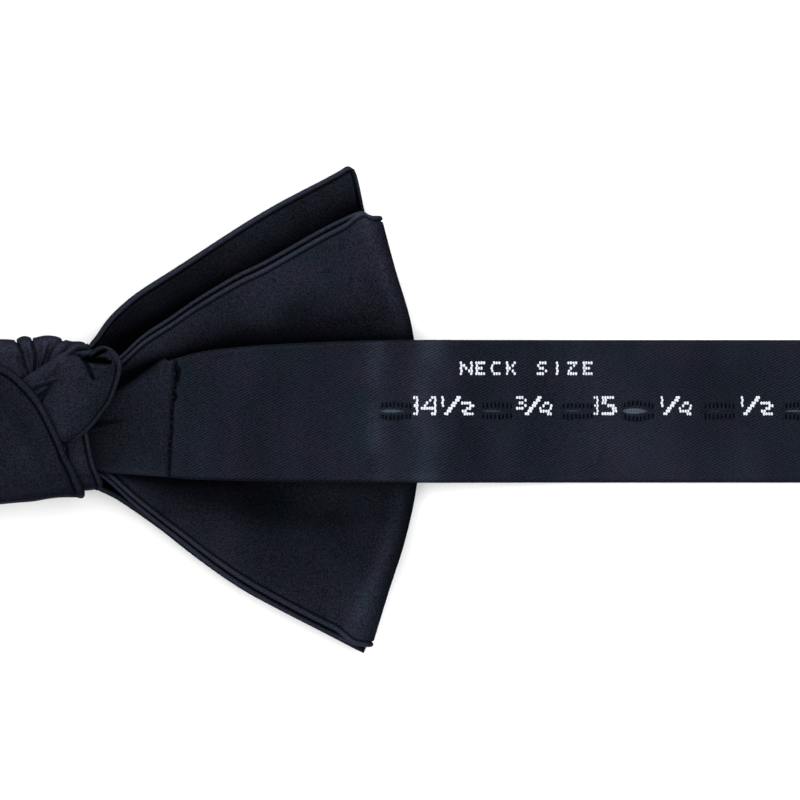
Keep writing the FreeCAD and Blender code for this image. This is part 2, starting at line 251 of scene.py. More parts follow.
def normals_of(grid):
    """Unit normals of a grid of points: the cross product of its two directions."""
    n = np.cross(np.gradient(grid, axis=0), np.gradient(grid, axis=1))
    return n / np.maximum(np.linalg.norm(n, axis=-1, keepdims=True), 1e-9)


def quads_of(index):
    """The four corners of every cell of a grid of vertex numbers."""
    return np.stack([index[:-1, :-1], index[1:, :-1], index[1:, 1:], index[:-1, 1:]], axis=-1).reshape(-1, 4)


def linked(name, data):
    """An object with the given data, put into the scene."""
    made = bpy.data.objects.new(name, data)
    bpy.context.scene.collection.objects.link(made)
    return made


def mesh_of_faces(name, points, faces):
    """A smooth mesh object from points in millimetres and faces of any number of corners."""
    mesh = bpy.data.meshes.new(name)
    mesh.from_pydata((np.asarray(points) * MM).tolist(), [], faces)
    mesh.polygons.foreach_set("use_smooth", np.ones(len(faces), bool))
    mesh.update()
    return linked(name, mesh)


def ring_numbers(rows, sides):
    """Vertex numbers of a tube's rings, with each ring's first one again at its end."""
    index = np.arange(rows * sides).reshape(rows, sides)
    return np.concatenate([index, index[:, :1]], axis=1)


def mesh_object(name, points, faces, attributes=()):
    """A smooth mesh object from points in millimetres, with its place in its mesh. attributes are (name, values),
    one value for each point."""
    mesh = bpy.data.meshes.new(name)
    mesh.vertices.add(len(points))
    mesh.vertices.foreach_set("co", (np.asarray(points) * MM).astype(np.float32).ravel())
    size = faces.shape[1]
    mesh.loops.add(faces.size)
    mesh.loops.foreach_set("vertex_index", faces.astype(np.int32).ravel())
    mesh.polygons.add(len(faces))
    mesh.polygons.foreach_set("loop_start", np.arange(0, faces.size, size, dtype=np.int32))
    mesh.polygons.foreach_set("use_smooth", np.ones(len(faces), bool))
    mesh.update(calc_edges=True)
    for key, values in attributes:
        layer = mesh.attributes.new(key, "FLOAT", "POINT")
        layer.data.foreach_set("value", np.asarray(values, np.float32))
    mesh.validate()
    return linked(name, mesh)


def closed_sheet(name, middle, square, half, grids):
    """A closed sheet: the middle grid moved by its half thickness both ways, square to it. The half thickness is
    nothing all round the rim, so both sides share the rim's vertices. grids are (name, values) on the same grid."""
    n, m = half.shape
    half = half.copy()
    half[[0, -1], :] = 0
    half[:, [0, -1]] = 0
    away = square * half[..., None]
    upper = np.arange(n * m).reshape(n, m)
    lower = upper.copy()
    lower[1:-1, 1:-1] = n * m + np.arange((n - 2) * (m - 2)).reshape(n - 2, m - 2)
    points = np.concatenate([(middle + away).reshape(-1, 3), (middle - away)[1:-1, 1:-1].reshape(-1, 3)])
    faces = np.concatenate([quads_of(upper), quads_of(lower)[:, ::-1]])
    both = [(key, np.concatenate([grid.ravel(), grid[1:-1, 1:-1].ravel()])) for key, grid in grids]
    return mesh_object(name, points, faces, both)


def cloth(name, place, cells, half=None, relief=None, roll=None, along=None, wide=0.85, bead=0.14, groove=0.42,
          seamed=None, shade=None, painted_edge_light=0.0):
    """A closed sheet of cloth over a surface place(u, v). Its grid is close along all four hems, and every row is
    evenly spaced by length. relief(x, y, z) pushes the surface along its normal. Shade is painted into the mesh's
    colour in the hollows of that relief and in the hem's groove, and shade(x, y, z) adds more painted shade, or
    painted light where it is below 0. seamed(u, v) is the share of the hem's bead and groove, and the last argument
    is how much lighter the very edge is painted, as a highlight, and darker, as painted shade, where it is below 0."""
    half = half or sizes().blade / MM / 2
    roll = roll or sizes().hem / MM
    even = np.linspace(0, 1, 161)
    run = lengths_along(place(even[:, None], np.array([[0.2, 0.5, 0.8]])), 0).mean(axis=1)
    steps = spread(run[-1], cells[0]) if along is None else along(run[-1])
    u = np.interp(steps, run, even)
    rows = lengths_along(place(u[:, None], even[None, :]), 1)
    steps_across = spread(rows[:, -1], cells[1])
    v = np.array([np.interp(s, r, even) for s, r in zip(steps_across, rows)])
    u = np.broadcast_to(u[:, None], v.shape)
    points = place(u, v)
    painted_shade_amount = np.zeros(u.shape)
    square = normals_of(points)
    if relief is not None:
        pushed = relief(*np.moveaxis(points, -1, 0))
        points = points + square * pushed[..., None]
        # Painted shade: the hollows of the relief are darkened in the colour.
        painted_shade_amount = np.clip(-1.15 * pushed - 0.10, 0, 0.85)
    if shade is not None:
        painted_shade_amount = painted_shade_amount + shade(*np.moveaxis(points, -1, 0))
    from_side = np.minimum(steps_across, rows[:, -1:] - steps_across)
    from_end = np.minimum(steps, run[-1] - steps)[:, None]
    edge = np.minimum(from_side, from_end)
    sewn = 1 if seamed is None else seamed(u, v)
    thick, cut = hem(edge, half, roll, wide, bead * sewn, groove * sewn)
    # Painted shade in the hem's groove, and painted light at the very edge by its share.
    painted_shade_amount = np.clip(painted_shade_amount + cut, -0.8, 0.9) - painted_edge_light * bell(edge, 0, 0.4)
    # The mesh carries a painted hem highlight and its painted light and shade.
    return closed_sheet(name, points, square, thick, [("painted_hem_highlight", bell(edge, 0, 0.7)), ("painted_light_and_shade", painted_shade_amount)])


# ---------------------------------------------------------------- materials

def material_base(name, colour, roughness):
    """A new Principled material with its colour, and handles to its nodes."""
    material = bpy.data.materials.new(name)
    material.use_nodes = True
    tree = material.node_tree
    shader = tree.nodes["Principled BSDF"]
    shader.inputs["Base Color"].default_value = (*colour, 1)
    shader.inputs["Roughness"].default_value = roughness
    material.diffuse_color = (*colour, 1)
    return material, tree, shader


def node(tree, kind, values=(), **settings):
    """A node with the given settings and unlinked input values."""
    made = tree.nodes.new(kind)
    for key, value in settings.items():
        setattr(made, key, value)
    for key, value in values:
        made.inputs[key].default_value = value
    return made


def mapped(tree, turn=0.0, scale=(1, 1, 1)):
    """Object coordinates turned about Z, in degrees, and scaled."""
    coordinates = node(tree, "ShaderNodeTexCoord")
    mapping = node(tree, "ShaderNodeMapping", [("Rotation", (0, 0, math.radians(turn))), ("Scale", scale)])
    tree.links.new(coordinates.outputs["Object"], mapping.inputs["Vector"])
    return mapping.outputs["Vector"]


def noise(tree, vector, size, detail=2.0, rough=0.5):
    """Noise whose features are about size metres across."""
    made = node(tree, "ShaderNodeTexNoise", [("Scale", 1 / size), ("Detail", detail), ("Roughness", rough)])
    tree.links.new(vector, made.inputs["Vector"])
    return made.outputs["Fac"]


def threads(tree, turn, period):
    """Parallel threads of a given period in metres: a sine wave across a turned X axis."""
    made = node(tree, "ShaderNodeTexWave",
                [("Scale", math.pi / 10 / period), ("Distortion", 0.35), ("Detail", 1.0), ("Detail Scale", 0.6)],
                wave_type="BANDS", bands_direction="X", wave_profile="SIN")
    tree.links.new(mapped(tree, turn), made.inputs["Vector"])
    return made.outputs["Fac"]


def joined(tree, kind, a, b, clamp=False):
    """Two values put together by a Math node. b may be a number."""
    made = node(tree, "ShaderNodeMath", operation=kind, use_clamp=clamp)
    tree.links.new(a, made.inputs[0])
    if isinstance(b, (int, float)):
        made.inputs[1].default_value = b
    else:
        tree.links.new(b, made.inputs[1])
    return made.outputs[0]


def weighted(tree, *parts):
    """The sum of values, each times its own share. parts are (value, share)."""
    scaled_parts = [joined(tree, "MULTIPLY", value, share) for value, share in parts]
    total = scaled_parts[0]
    for part in scaled_parts[1:]:
        total = joined(tree, "ADD", total, part)
    return total


def blended(tree, amount, low, high):
    """A colour between two, by an amount between 0 and 1."""
    made = node(tree, "ShaderNodeValToRGB")
    first, last = made.color_ramp.elements
    first.position, first.color = 0.24, (*low, 1)
    last.position, last.color = 0.76, (*high, 1)
    tree.links.new(amount, made.inputs["Fac"])
    return made.outputs["Color"]


def dyed(tree, tone, colour, dark, light):
    """A dye between a dark and a light share of its colour by the tone, which drifts from violet to teal over
    a few millimetres."""
    violet = tuple(c * k for c, k in zip(colour, (1.14, 0.96, 1.03)))
    teal = tuple(c * k for c, k in zip(colour, (0.86, 1.04, 0.97)))
    drift = node(tree, "ShaderNodeMapRange", [("From Min", 0.3), ("From Max", 0.7)])
    tree.links.new(noise(tree, mapped(tree), 0.006, 2.0), drift.inputs["Value"])
    mix = node(tree, "ShaderNodeMix", data_type="RGBA")
    tree.links.new(drift.outputs["Result"], mix.inputs[0])
    tree.links.new(blended(tree, tone, scaled(violet, dark), scaled(violet, light)), mix.inputs[6])
    tree.links.new(blended(tree, tone, scaled(teal, dark), scaled(teal, light)), mix.inputs[7])
    return mix.outputs[2]


def with_painted_shading(tree, colour):
    """A colour darkened by the mesh's painted shade, and lightened by painted light where that is below 0."""
    painted_shade_amount = node(tree, "ShaderNodeAttribute", attribute_name="painted_light_and_shade")
    left = joined(tree, "SUBTRACT", joined(tree, "MULTIPLY", painted_shade_amount.outputs["Fac"], -1.0), -1.0)
    made = node(tree, "ShaderNodeVectorMath", operation="SCALE")
    tree.links.new(colour, made.inputs[0])
    tree.links.new(left, made.inputs["Scale"])
    return made.outputs[0]


def bumped(tree, shader, height, depth, strength):
    """Surface relief of a given depth in metres."""
    made = node(tree, "ShaderNodeBump", [("Strength", strength), ("Distance", depth)])
    tree.links.new(height, made.inputs["Height"])
    tree.links.new(made.outputs["Normal"], shader.inputs["Normal"])


def scaled(colour, k):
    """A colour times a number."""
    return tuple(c * k for c in colour)


def glossed(shader, gloss):
    """The gloss of smooth filaments: coloured by the dye and hardly stronger at a glancing angle, because threads
    hide one another. It is the metallic share of the shader, with its glancing reflection held down."""
    shader.inputs["Metallic"].default_value = gloss
    shader.inputs["Specular IOR Level"].default_value = 0.0
    shader.inputs["Specular Tint"].default_value = (0.38, 0.38, 0.40, 1)


def silk_material():
    """Satin: fine crossed threads, a slightly uneven dye, a soft blue gloss, hems painted lighter as a highlight, and
    painted shade and light from the mesh.
    """
    name = "midnight_silk"
    if name in bpy.data.materials:
        return bpy.data.materials[name]
    colour = tuple(colours().silk)
    material, tree, shader = material_base(name, colour, 0.50)
    grain = noise(tree, mapped(tree), 0.00023, 2.0, 0.6)
    warp = threads(tree, 64, 0.00030)
    cloudy = noise(tree, mapped(tree), 0.011, 2.0)
    hem_highlight = node(tree, "ShaderNodeAttribute", attribute_name="painted_hem_highlight")
    tone = joined(tree, "SUBTRACT", weighted(tree, (grain, 1.15), (cloudy, 0.30), (warp, 0.06)), 0.26)
    # Painted highlight: the colour is lighter along every hem, for the sheen on its rolled bead.
    tone = joined(tree, "ADD", tone, weighted(tree, (hem_highlight.outputs["Fac"], 0.20)), clamp=True)
    tree.links.new(with_painted_shading(tree, dyed(tree, tone, colour, 0.3, 1.7)), shader.inputs["Base Color"])
    glossed(shader, 0.50)
    bumped(tree, shader, joined(tree, "ADD", grain, weighted(tree, (warp, 0.12))), 0.00007, 0.8)
    return material


def tape_material():
    """Twill: close ridges that rise at 26 degrees, crossed by weaker ones that fall at 36, with a little lint. The dye
    is darkened or lightened by the mesh's painted shade and light.
    """
    colour = tuple(colours().tape)
    material, tree, shader = material_base("twill_tape", colour, 0.50)
    rising = threads(tree, 64, 0.00037)
    falling = threads(tree, -54, 0.00034)
    fibre = noise(tree, mapped(tree, 64, (1, 2, 1)), 0.00030, 2.0, 0.7)
    cloudy = noise(tree, mapped(tree, 0, (1, 0.3, 1)), 0.007, 2.0)
    tone = weighted(tree, (rising, 0.22), (falling, 0.12), (fibre, 0.95), (cloudy, 0.34))
    tone = joined(tree, "SUBTRACT", tone, 0.32, clamp=True)
    tree.links.new(with_painted_shading(tree, dyed(tree, tone, colour, 0.3, 1.7)), shader.inputs["Base Color"])
    glossed(shader, 0.50)
    bumped(tree, shader, weighted(tree, (rising, 0.7), (falling, 0.4), (fibre, 0.6)), 0.00007, 0.8)
    return material


def thread_material(name, colour, rough, twist):
    """Twisted thread: fine slanting ridges over a plain dye."""
    if name in bpy.data.materials:
        return bpy.data.materials[name]
    material, tree, shader = material_base(name, colour, rough)
    ply = threads(tree, 30, twist)
    fibre = noise(tree, mapped(tree), twist * 1.5)
    tone = joined(tree, "ADD", weighted(tree, (ply, 0.5)), weighted(tree, (fibre, 0.5)), clamp=True)
    tree.links.new(blended(tree, tone, scaled(colour, 0.6), scaled(colour, 1.25)), shader.inputs["Base Color"])
    if colour[0] < 0.1:
        glossed(shader, 0.6)
    bumped(tree, shader, ply, 0.00003, 0.5)
    return material


def dark_thread():
    """The dark sewing thread of the seam, the buttonholes and the tab."""
    return thread_material("dark_thread", tuple(colours().thread), 0.6, 0.00012)


def stay_material():
    """Plain cotton that shows in the buttonholes."""
    colour = tuple(colours().stay)
    material, tree, shader = material_base("cotton_stay", colour, 0.9)
    cross = joined(tree, "MULTIPLY", threads(tree, 0, 0.0004), threads(tree, 90, 0.0004))
    tree.links.new(blended(tree, cross, scaled(colour, 0.6), scaled(colour, 1.3)), shader.inputs["Base Color"])
    bumped(tree, shader, cross, 0.00005, 0.5)
    return material


def metal_material():
    """Nickel plate with fine brushing and a few dull patches."""
    material, tree, shader = material_base("nickel_plate", tuple(colours().metal), 0.3)
    shader.inputs["Metallic"].default_value = 1.0
    brushed = noise(tree, mapped(tree, 0, (1, 12, 1)), 0.0006, 3.0, 0.6)
    rough = node(tree, "ShaderNodeMapRange", [("To Min", 0.22), ("To Max", 0.42)])
    tree.links.new(brushed, rough.inputs["Value"])
    tree.links.new(rough.outputs["Result"], shader.inputs["Roughness"])
    bumped(tree, shader, brushed, 0.00001, 0.3)
    return material


def dressed(piece, material, replaces, body=None, across=None):
    """Gives a piece its material, slot and body. Given across, its transform is baked in and it gets no body; the two
    bodies and the stretch of X in across are not read.
    """
    piece.data.materials.clear()
    piece.data.materials.append(material)
    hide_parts(*replaces)
    if across:
        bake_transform(piece)
    else:
        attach(piece, body)
    return piece


# ---------------------------------------------------------------- the wings

WING_ROOT = 10.4


def wing_plan(chin, chest, end):
    """Plan of a wing as a function of (a, f): a is 0 at the knot and 1 at the outer end, f is 1 on the chin-side edge
    and -1 on the chest-side edge. chin and chest are the edges' (x, y) points, and end is (f, x) of the outer end."""
    chin, chest, end = smooth_line(chin, 400), smooth_line(chest, 400), smooth_line(end, 400)

    def plan(a, f, short=0.0):
        """(x, y) at (a, f): both edges are read off at a, f divides the stretch between them, and short draws the
        outer end in."""
        x = WING_ROOT + (np.interp(f, end[:, 0], end[:, 1]) - short - WING_ROOT) * a
        y_chin = np.interp(WING_ROOT + (end[-1, 1] - WING_ROOT) * a, chin[:, 0], chin[:, 1])
        y_chest = np.interp(WING_ROOT + (end[0, 1] - WING_ROOT) * a, chest[:, 0], chest[:, 1])
        return x, y_chest + (y_chin - y_chest) * (f + 1) / 2

    return plan


def wing_ridges(a, f, high):
    """Relief of a wing: a trough in the middle, where the neckband lies, and a broad ridge each side of it that
    stays high to the wing's edge. The ridges are lowest at the knot and at the outer end."""
    inner, outer = 0.34, 0.72
    away = np.abs(f) - 0.8 * np.maximum(0.37 - a, 0)
    side = np.where(f < 0, 0.62, 0.85)
    rise = side * high * 1.25 * a**1.1 * (1 - 0.78 * a)
    return rise * step(away, inner, outer) * (1 - 0.30 * step(away, outer, 1.05))


def folded_loop(name, plan, lower, upper, high, seed, shade=None):
    """One blade folded over on itself: out along the lower layer, round a half circle at the outer end and back along
    the upper one. lower and upper are the layers' middle heights at fractions of the way out."""
    bottom, top = height_at(1.0, lower), height_at(1.0, upper)
    radius = (top - bottom) / 2
    leg = 0.47

    def place(u, v):
        """Out, round and back along u, with v across. The half circle's corners are drawn in a little."""
        u, v = np.broadcast_arrays(u, v)
        f = 2 * v - 1
        a = np.clip(np.where(u < 0.5, u, 1 - u) / leg, 0, 1)
        turn = np.clip((u - leg) / (1 - 2 * leg), 0, 1) * np.pi
        inset = (0.5 - 0.5 * np.cos(turn)) * step(1 - a, 0.01, 0.10)
        x, y = plan(a, f * (1 - 0.85 * inset / (6 + 24 * a)), radius)
        x = x + radius * np.sin(turn)
        z = np.where(u > 1 - leg, height_at(a, upper), (bottom + top) / 2 - radius * np.cos(turn))
        z = np.where(u < leg, height_at(a, lower), z)
        share = 0.55 + 0.45 * (1 - np.cos(turn)) / 2
        z = z + share * wing_ridges(a, f, high)
        z = z + 0.25 * ripple(x, y, 9, seed) * a + 0.08 * ripple(x, y, 3.1, seed + 1)
        return np.stack([x, y, z], axis=-1)

    # The loop's very edge is painted lighter, as a highlight.
    return cloth(name, place, (150, 96), shade=shade, painted_edge_light=0.75)


def flat_end(name, plan, heights, high, seed, shade=None):
    """A blade's flat end: one layer from the knot to the sewn outer end, at heights along u."""
    def place(u, v):
        """Out along u, with v across. Both sides are lifted most a little under half way out."""
        u, v = np.broadcast_arrays(u, v)
        f = 2 * v - 1
        x, y = plan(u, f)
        lifted = high * u**0.6 * (1 - u) ** 0.7 * np.clip((np.abs(f) - 0.55) / 0.45, 0, 1) ** 1.3
        z = height_at(u, heights) + lifted
        z = z + 0.2 * ripple(x, y, 9, seed) * u + 0.06 * ripple(x, y, 3.1, seed + 1)
        return np.stack([x, y, z], axis=-1)

    # The end's very edge is painted lighter, as a highlight.
    return cloth(name, place, (80, 96), shade=shade, painted_edge_light=0.9)


def turned_over(piece):
    """Mirrors a finished mesh to the left side of the knot, and turns its faces the right way out again."""
    co = np.empty(len(piece.data.vertices) * 3, np.float32)
    piece.data.vertices.foreach_get("co", co)
    co = co.reshape(-1, 3) * (-1, 1, 1)
    piece.data.vertices.foreach_set("co", co.ravel())
    piece.data.flip_normals()
    return piece


def beside_band(x, y, z):
    """Painted shade and light on the wing that the neckband lies on: painted shade in the trough by the band's chin
    side with a soft wedge above it, and in a broad hollow by its chest side that widens outwards. Its outer edge, the
    chest-side flank beyond the hollow and its corners are painted lighter, as highlights."""
    above = y - height_at(x, CHIN_EDGE)
    below = height_at(x, CHEST_EDGE) - y
    chest_side = y < 0
    # Painted shade in the trough and the wedge by the band's chin side.
    trough = (0.85 - 0.15 * step(x, 30, 40)) * bell(above, 0, 1.7 + 2.6 * bell(x, 35, 8)) * step(x, 13, 18)
    wedge = 0.40 * bell(x, 41, 6) * bell(above - 4.6 - 0.35 * (x - 41), 0, 2.2) * (above > -1)
    # Painted shade in the hollow and its corner by the band's chest side.
    wide = np.maximum(0.70 * (x - 15.0), 0.5)
    hollow = 0.68 * (1 - step(below, 0.0, 1.15 * wide)) * (1 - 0.30 * step(x, 36, 46)) * chest_side
    corner = 0.55 * bell(x, 54, 7) * bell(below, 1.2, 2.6) * chest_side
    # Painted highlights along the outer edge, the chest-side flank and the corners.
    rim = -0.42 * bell(57.2 - 0.0088 * y**2 - x, 0, 1.0) * step(np.abs(y), 9, 15)
    lit = -0.34 * step(below, 0.95 * wide, 1.25 * wide) * chest_side * step(x, 16, 22)
    tip = lit - 0.35 * bell(x, 51.5, 3.0) * bell(np.abs(y), 28, 4)
    shaded = np.minimum(np.maximum(trough, wedge) + np.maximum(hollow, corner), 0.88)
    return shaded + rim + tip + 0.08 * ripple(x, y, 5, 15)


def beside_loop(x, y, z):
    """Painted shadow of the nearer wing on the farther one: deep beside the nearer wing and near the knot, less
    towards its edge, and a little painted shade all over.
    """
    above = y - (4.2 + 0.62 * (x - WING_ROOT - 1.6) - 0.0012 * (x - 30) ** 2)
    deep = 0.72 * (1 - step(above, 0.3, 6.5)) + 0.30 * (1 - step(x, 18, 36))
    return deep + 0.18 + 0.08 * ripple(x, y, 4, 25)


class BOWTIE_OT_wings(bpy.types.Operator):
    """Make the two folded loops and the two flat ends of the bow"""
    bl_idname = "bowtie.wings"
    bl_label = "Wings"

    def execute(self, context):
        silk = silk_material()
        high = sizes().puff / MM
        near = wing_plan(
            chin=[(WING_ROOT, 3.6), (13.5, 5.5), (16.8, 7.6), (20.3, 10.7), (24.2, 13.2), (28.2, 15.9),
                  (33.7, 19.1), (37.9, 21.1), (45.5, 25.3), (50.1, 27.5), (51.9, 28.0), (52.9, 27.2)],
            chest=[(WING_ROOT, -7.0), (14.7, -9.5), (19.2, -13.4), (24.1, -17.2), (30.5, -22.1), (35.6, -25.4),
                   (43.3, -29.5), (49.5, -32.4), (52.0, -33.1)],
            end=[(-1, 51.5), (-0.75, 53.8), (-0.5, 56.2), (-0.25, 57.8), (0, 58.3), (0.25, 58.0), (0.5, 57.0),
                 (0.75, 54.8), (1, 52.8)])
        far = wing_plan(
            chin=[(WING_ROOT, 7.0), (13.3, 10.2), (15, 12.6), (16.8, 14.5), (19.6, 16.8), (25.2, 20.4),
                  (33.6, 25.9), (39.2, 29.25), (44.8, 32.2), (47.4, 33.6), (48.6, 34.3), (49.4, 33.8)],
            chest=[(WING_ROOT, -8.8), (13.3, -10.8), (16.8, -12.6), (22.4, -16.5), (28, -20.9), (33.6, -24.8),
                   (39.2, -27.9), (44.8, -30.8), (49, -33.0), (50.8, -33.9)],
            end=[(-1, 50.8), (-0.9, 51.8), (-0.5, 53.6), (0, 54.6), (0.5, 53.0), (0.9, 50.4), (1, 49.4)])
        lower = [(0, 7.6), (0.35, 4.6), (0.75, 2.8), (1, 2.7)]
        upper = [(0, 10.3), (0.35, 7.4), (0.75, 5.0), (1, 5.0)]
        loop = folded_loop("back_bow_right_loop", near, lower, upper, high, 11, beside_band)
        dressed(loop, silk, ["back_right_loop_cover", "back_right_loop_interlining"], "bow")
        heights = [(0, 4.8), (0.3, 2.4), (0.7, 0.85), (1, 0.66)]
        end = flat_end("front_bow_right_end", far, heights, 4.5, 21, beside_loop)
        dressed(end, silk, ["front_right_end_cover", "front_right_end_interlining"], "bow")
        lower = [(0, 3.0), (0.35, 1.4), (0.75, 0.72), (1, 0.66)]
        upper = [(0, 5.9), (0.35, 4.3), (0.75, 3.3), (1, 3.2)]
        loop = turned_over(folded_loop("front_bow_left_loop", near, lower, upper, 3.0, 31))
        dressed(loop, silk, ["front_left_loop_cover", "front_left_loop_interlining"], "bow")
        heights = [(0, 8.3), (0.3, 7.3), (0.7, 6.0), (1, 5.4)]
        end = turned_over(flat_end("back_bow_left_end", far, heights, 4.5, 41))
        dressed(end, silk, ["back_left_end_cover", "back_left_end_interlining"], "bow")
        return {"FINISHED"}


# ---------------------------------------------------------------- the knot

# Each line of the band round the knot: where it crosses the front, then three points over the top and into the back
WRAP_LINES = [
    (-11.3, (-10.6, 9.0), (-9.5, 7.6), (-8.5, 6.4)),
    (-7.5, (-7.0, 9.4), (-5.6, 7.4), (-4.6, 5.0)),
    (-3.5, (-3.2, 9.55), (-1.8, 7.3), (-0.4, 4.2)),
    (0.5, (0.5, 9.5), (1.3, 7.4), (2.2, 4.0)),
    (2.3, (2.35, 9.35), (3.1, 7.2), (4.0, 3.6)),
    (3.6, (3.5, 9.8), (4.1, 7.4), (4.8, 3.6)),
    (4.7, (4.65, 9.6), (5.05, 7.7), (5.5, 4.0)),
    (6.2, (6.2, 9.95), (6.0, 8.0), (6.1, 4.6)),
    (7.7, (7.7, 9.9), (7.2, 8.0), (6.9, 5.1)),
    (9.4, (9.2, 9.45), (8.4, 8.2), (7.7, 5.7)),
    (10.8, (11.2, 9.1), (10.0, 8.3), (8.8, 6.3)),
    (11.5, (12.5, 8.5), (11.3, 8.1), (9.8, 6.8)),
]
# Grooves between its pleats in plan, each with its depth and half width
PLEATS = [
    (0.95, 0.17, [(2.15, 10.6), (2.35, 9.6), (2.9, 8.7), (3.3, 7.7), (3.6, 6.3), (4.1, 5.2), (4.4, 4.3)]),
    (0.45, 0.15, [(2.6, 7.4), (2.9, 6.4), (3.3, 5.4), (3.7, 4.7)]),
    (0.35, 0.13, [(3.95, 8.6), (4.2, 7.4), (4.45, 6.2), (4.6, 5.0)]),
    (0.95, 0.17, [(4.6, 10.8), (4.6, 9.7), (4.8, 8.7), (5.15, 7.9), (5.1, 6.6), (4.95, 5.4)]),
    (0.30, 0.16, [(5.9, 9.2), (5.85, 8.0), (5.75, 6.9), (5.6, 5.9)]),
    (0.70, 0.18, [(7.3, 9.2), (6.9, 8.5), (6.65, 7.6), (6.3, 6.6), (6.05, 6.0)]),
    (0.75, 0.18, [(9.6, 10.0), (9.0, 9.65), (8.2, 9.15), (7.4, 8.25), (6.9, 7.3), (6.6, 6.6)]),
]


def knot_wrap():
    """The band round the knot. It starts under the chest side, crosses the front on the table, comes over the chin
    side and ends in pleats, which are grooves with rounded cloth between them."""
    guides = []
    for x, (x1, y1), (x2, y2), (x3, y3) in WRAP_LINES:
        low = 1.5 if x > 10 else 0  # the outermost lines pass under the flap
        front = [(x, -11.2, 8.5), (x, -11.3, 5.0), (x, -10.0, 1.7), (x, -6.5, 0.66), (x, 0, 0.62),
                 (x, 5.0, 0.7), (x, 8.2, 2.2), (x1, y1 - 0.2, 6.0), (x1, y1, 11.6 - low / 2)]
        over = [(x1 * 0.85 + x2 * 0.15, y1 * 0.85 + y2 * 0.15, 13.9 - low),
                (x2, y2, 15.0 - low), (x3, y3, 15.4 - low)]
        guides.append(front + over)
    place = skin(guides)

    def pleats(x, y, z):
        """The pleats' grooves on the back, the deepest one at each point, with a soft unevenness."""
        back = step(z, 4, 9) * (y > 0)
        shown = back > 0
        cut = np.zeros(x.shape)
        for depth, width, line in PLEATS:
            cut[shown] = np.maximum(cut[shown], depth * crease(x[shown], y[shown], line, width))
        share = sizes().pleat / MM / 0.85
        return back * (-share * cut + 0.12 * ripple(x, y, 1.6, 51)) + 0.1 * ripple(x, z, 5, 52)

    def rounded_over(x, y, z):
        """Painted highlight on the pleats, most where they turn over the chin side."""
        return (-0.40 * step(y, 3, 5) - 0.5 * step(y, 7.8, 9.4)) * step(z, 6, 10)

    # The pleats' grooves get painted shade from their relief, and the pleats a painted highlight.
    return cloth("knot_wrap_silk", place, (120, 230), half=0.55, relief=pleats, shade=rounded_over)


def pleat_strip():
    """The strip of folds between the pleats and the flap: two narrow folds open off its lower end, and it narrows to
    a rib where it goes over the top."""
    place = skin([
        [(2.7, 3.4, 16.3), (3.76, 4.72, 16.4), (5.25, 5.65, 16.5), (6.5, 6.45, 16.6), (7.7, 7.1, 16.6),
         (8.75, 7.8, 16.4), (9.8, 8.7, 16.0), (10.85, 9.35, 15.2), (12.0, 9.2, 14.2), (12.8, 8.7, 13.0)],
        [(3.5, 2.5, 16.4), (4.6, 3.9, 16.8), (5.9, 4.75, 16.8), (7.0, 5.5, 17.0), (7.9, 6.3, 17.0),
         (8.7, 7.2, 16.8), (9.7, 8.1, 15.9), (10.9, 8.75, 14.8), (12.1, 8.8, 13.7), (12.9, 8.4, 12.7)],
        [(5.0, 0.4, 15.9), (6.0, 1.5, 16.0), (7.0, 2.5, 15.9), (7.9, 3.6, 15.8), (8.4, 5.0, 15.8), (8.8, 6.4, 15.5),
         (9.7, 7.5, 14.9), (11.0, 8.15, 13.6), (12.2, 8.25, 12.8), (13.0, 8.1, 12.2)],
    ])

    def folds(x, y, z):
        """Two grooves, and a low ridge between them."""
        lines = [[(4.2, 2.7), (4.8, 3.35), (5.8, 3.85), (7.0, 4.4), (8.0, 5.0)],
                 [(5.2, 1.9), (5.7, 2.35), (6.5, 2.85), (7.6, 3.4)]]
        cut = sum(crease(x, y, line, 0.16) for line in lines)
        puff = crease(x, y, [(4.9, 2.8), (5.9, 3.35), (7.1, 3.8)], 0.25)
        return -0.75 * cut + 0.15 * puff + 0.08 * ripple(x, y, 1.7, 61)

    def lit(x, y, z):
        """Painted light: the strip is lighter all over."""
        return np.full(x.shape, -0.25)

    # The strip's grooves get painted shade from their relief.
    return cloth("knot_pleat_strip", place, (90, 40), half=0.45, relief=folds, bead=0.1, groove=0.12, shade=lit)


FLAP_EDGE = [(8.9, 7.75), (9.8, 7.85), (10.9, 7.95), (12.25, 8.15), (13.65, 8.35), (14.7, 8.8), (15.5, 8.75),
             (16.35, 8.2), (16.95, 7.3), (17.15, 6.5), (17.0, 5.2), (16.5, 3.5), (15.65, 1.5), (14.5, -0.1),
             (13.3, -1.7), (11.9, -2.9), (10.6, -3.85), (9.4, -4.6), (8.4, -5.2)]
FLAP_ROOT = [(8.3, 7.0), (8.15, 6.4), (7.9, 5.0), (7.5, 3.8), (6.9, 2.5), (6.2, 1.2), (6.2, -0.5), (7.0, -2.2),
             (7.8, -3.8), (8.0, -4.6)]


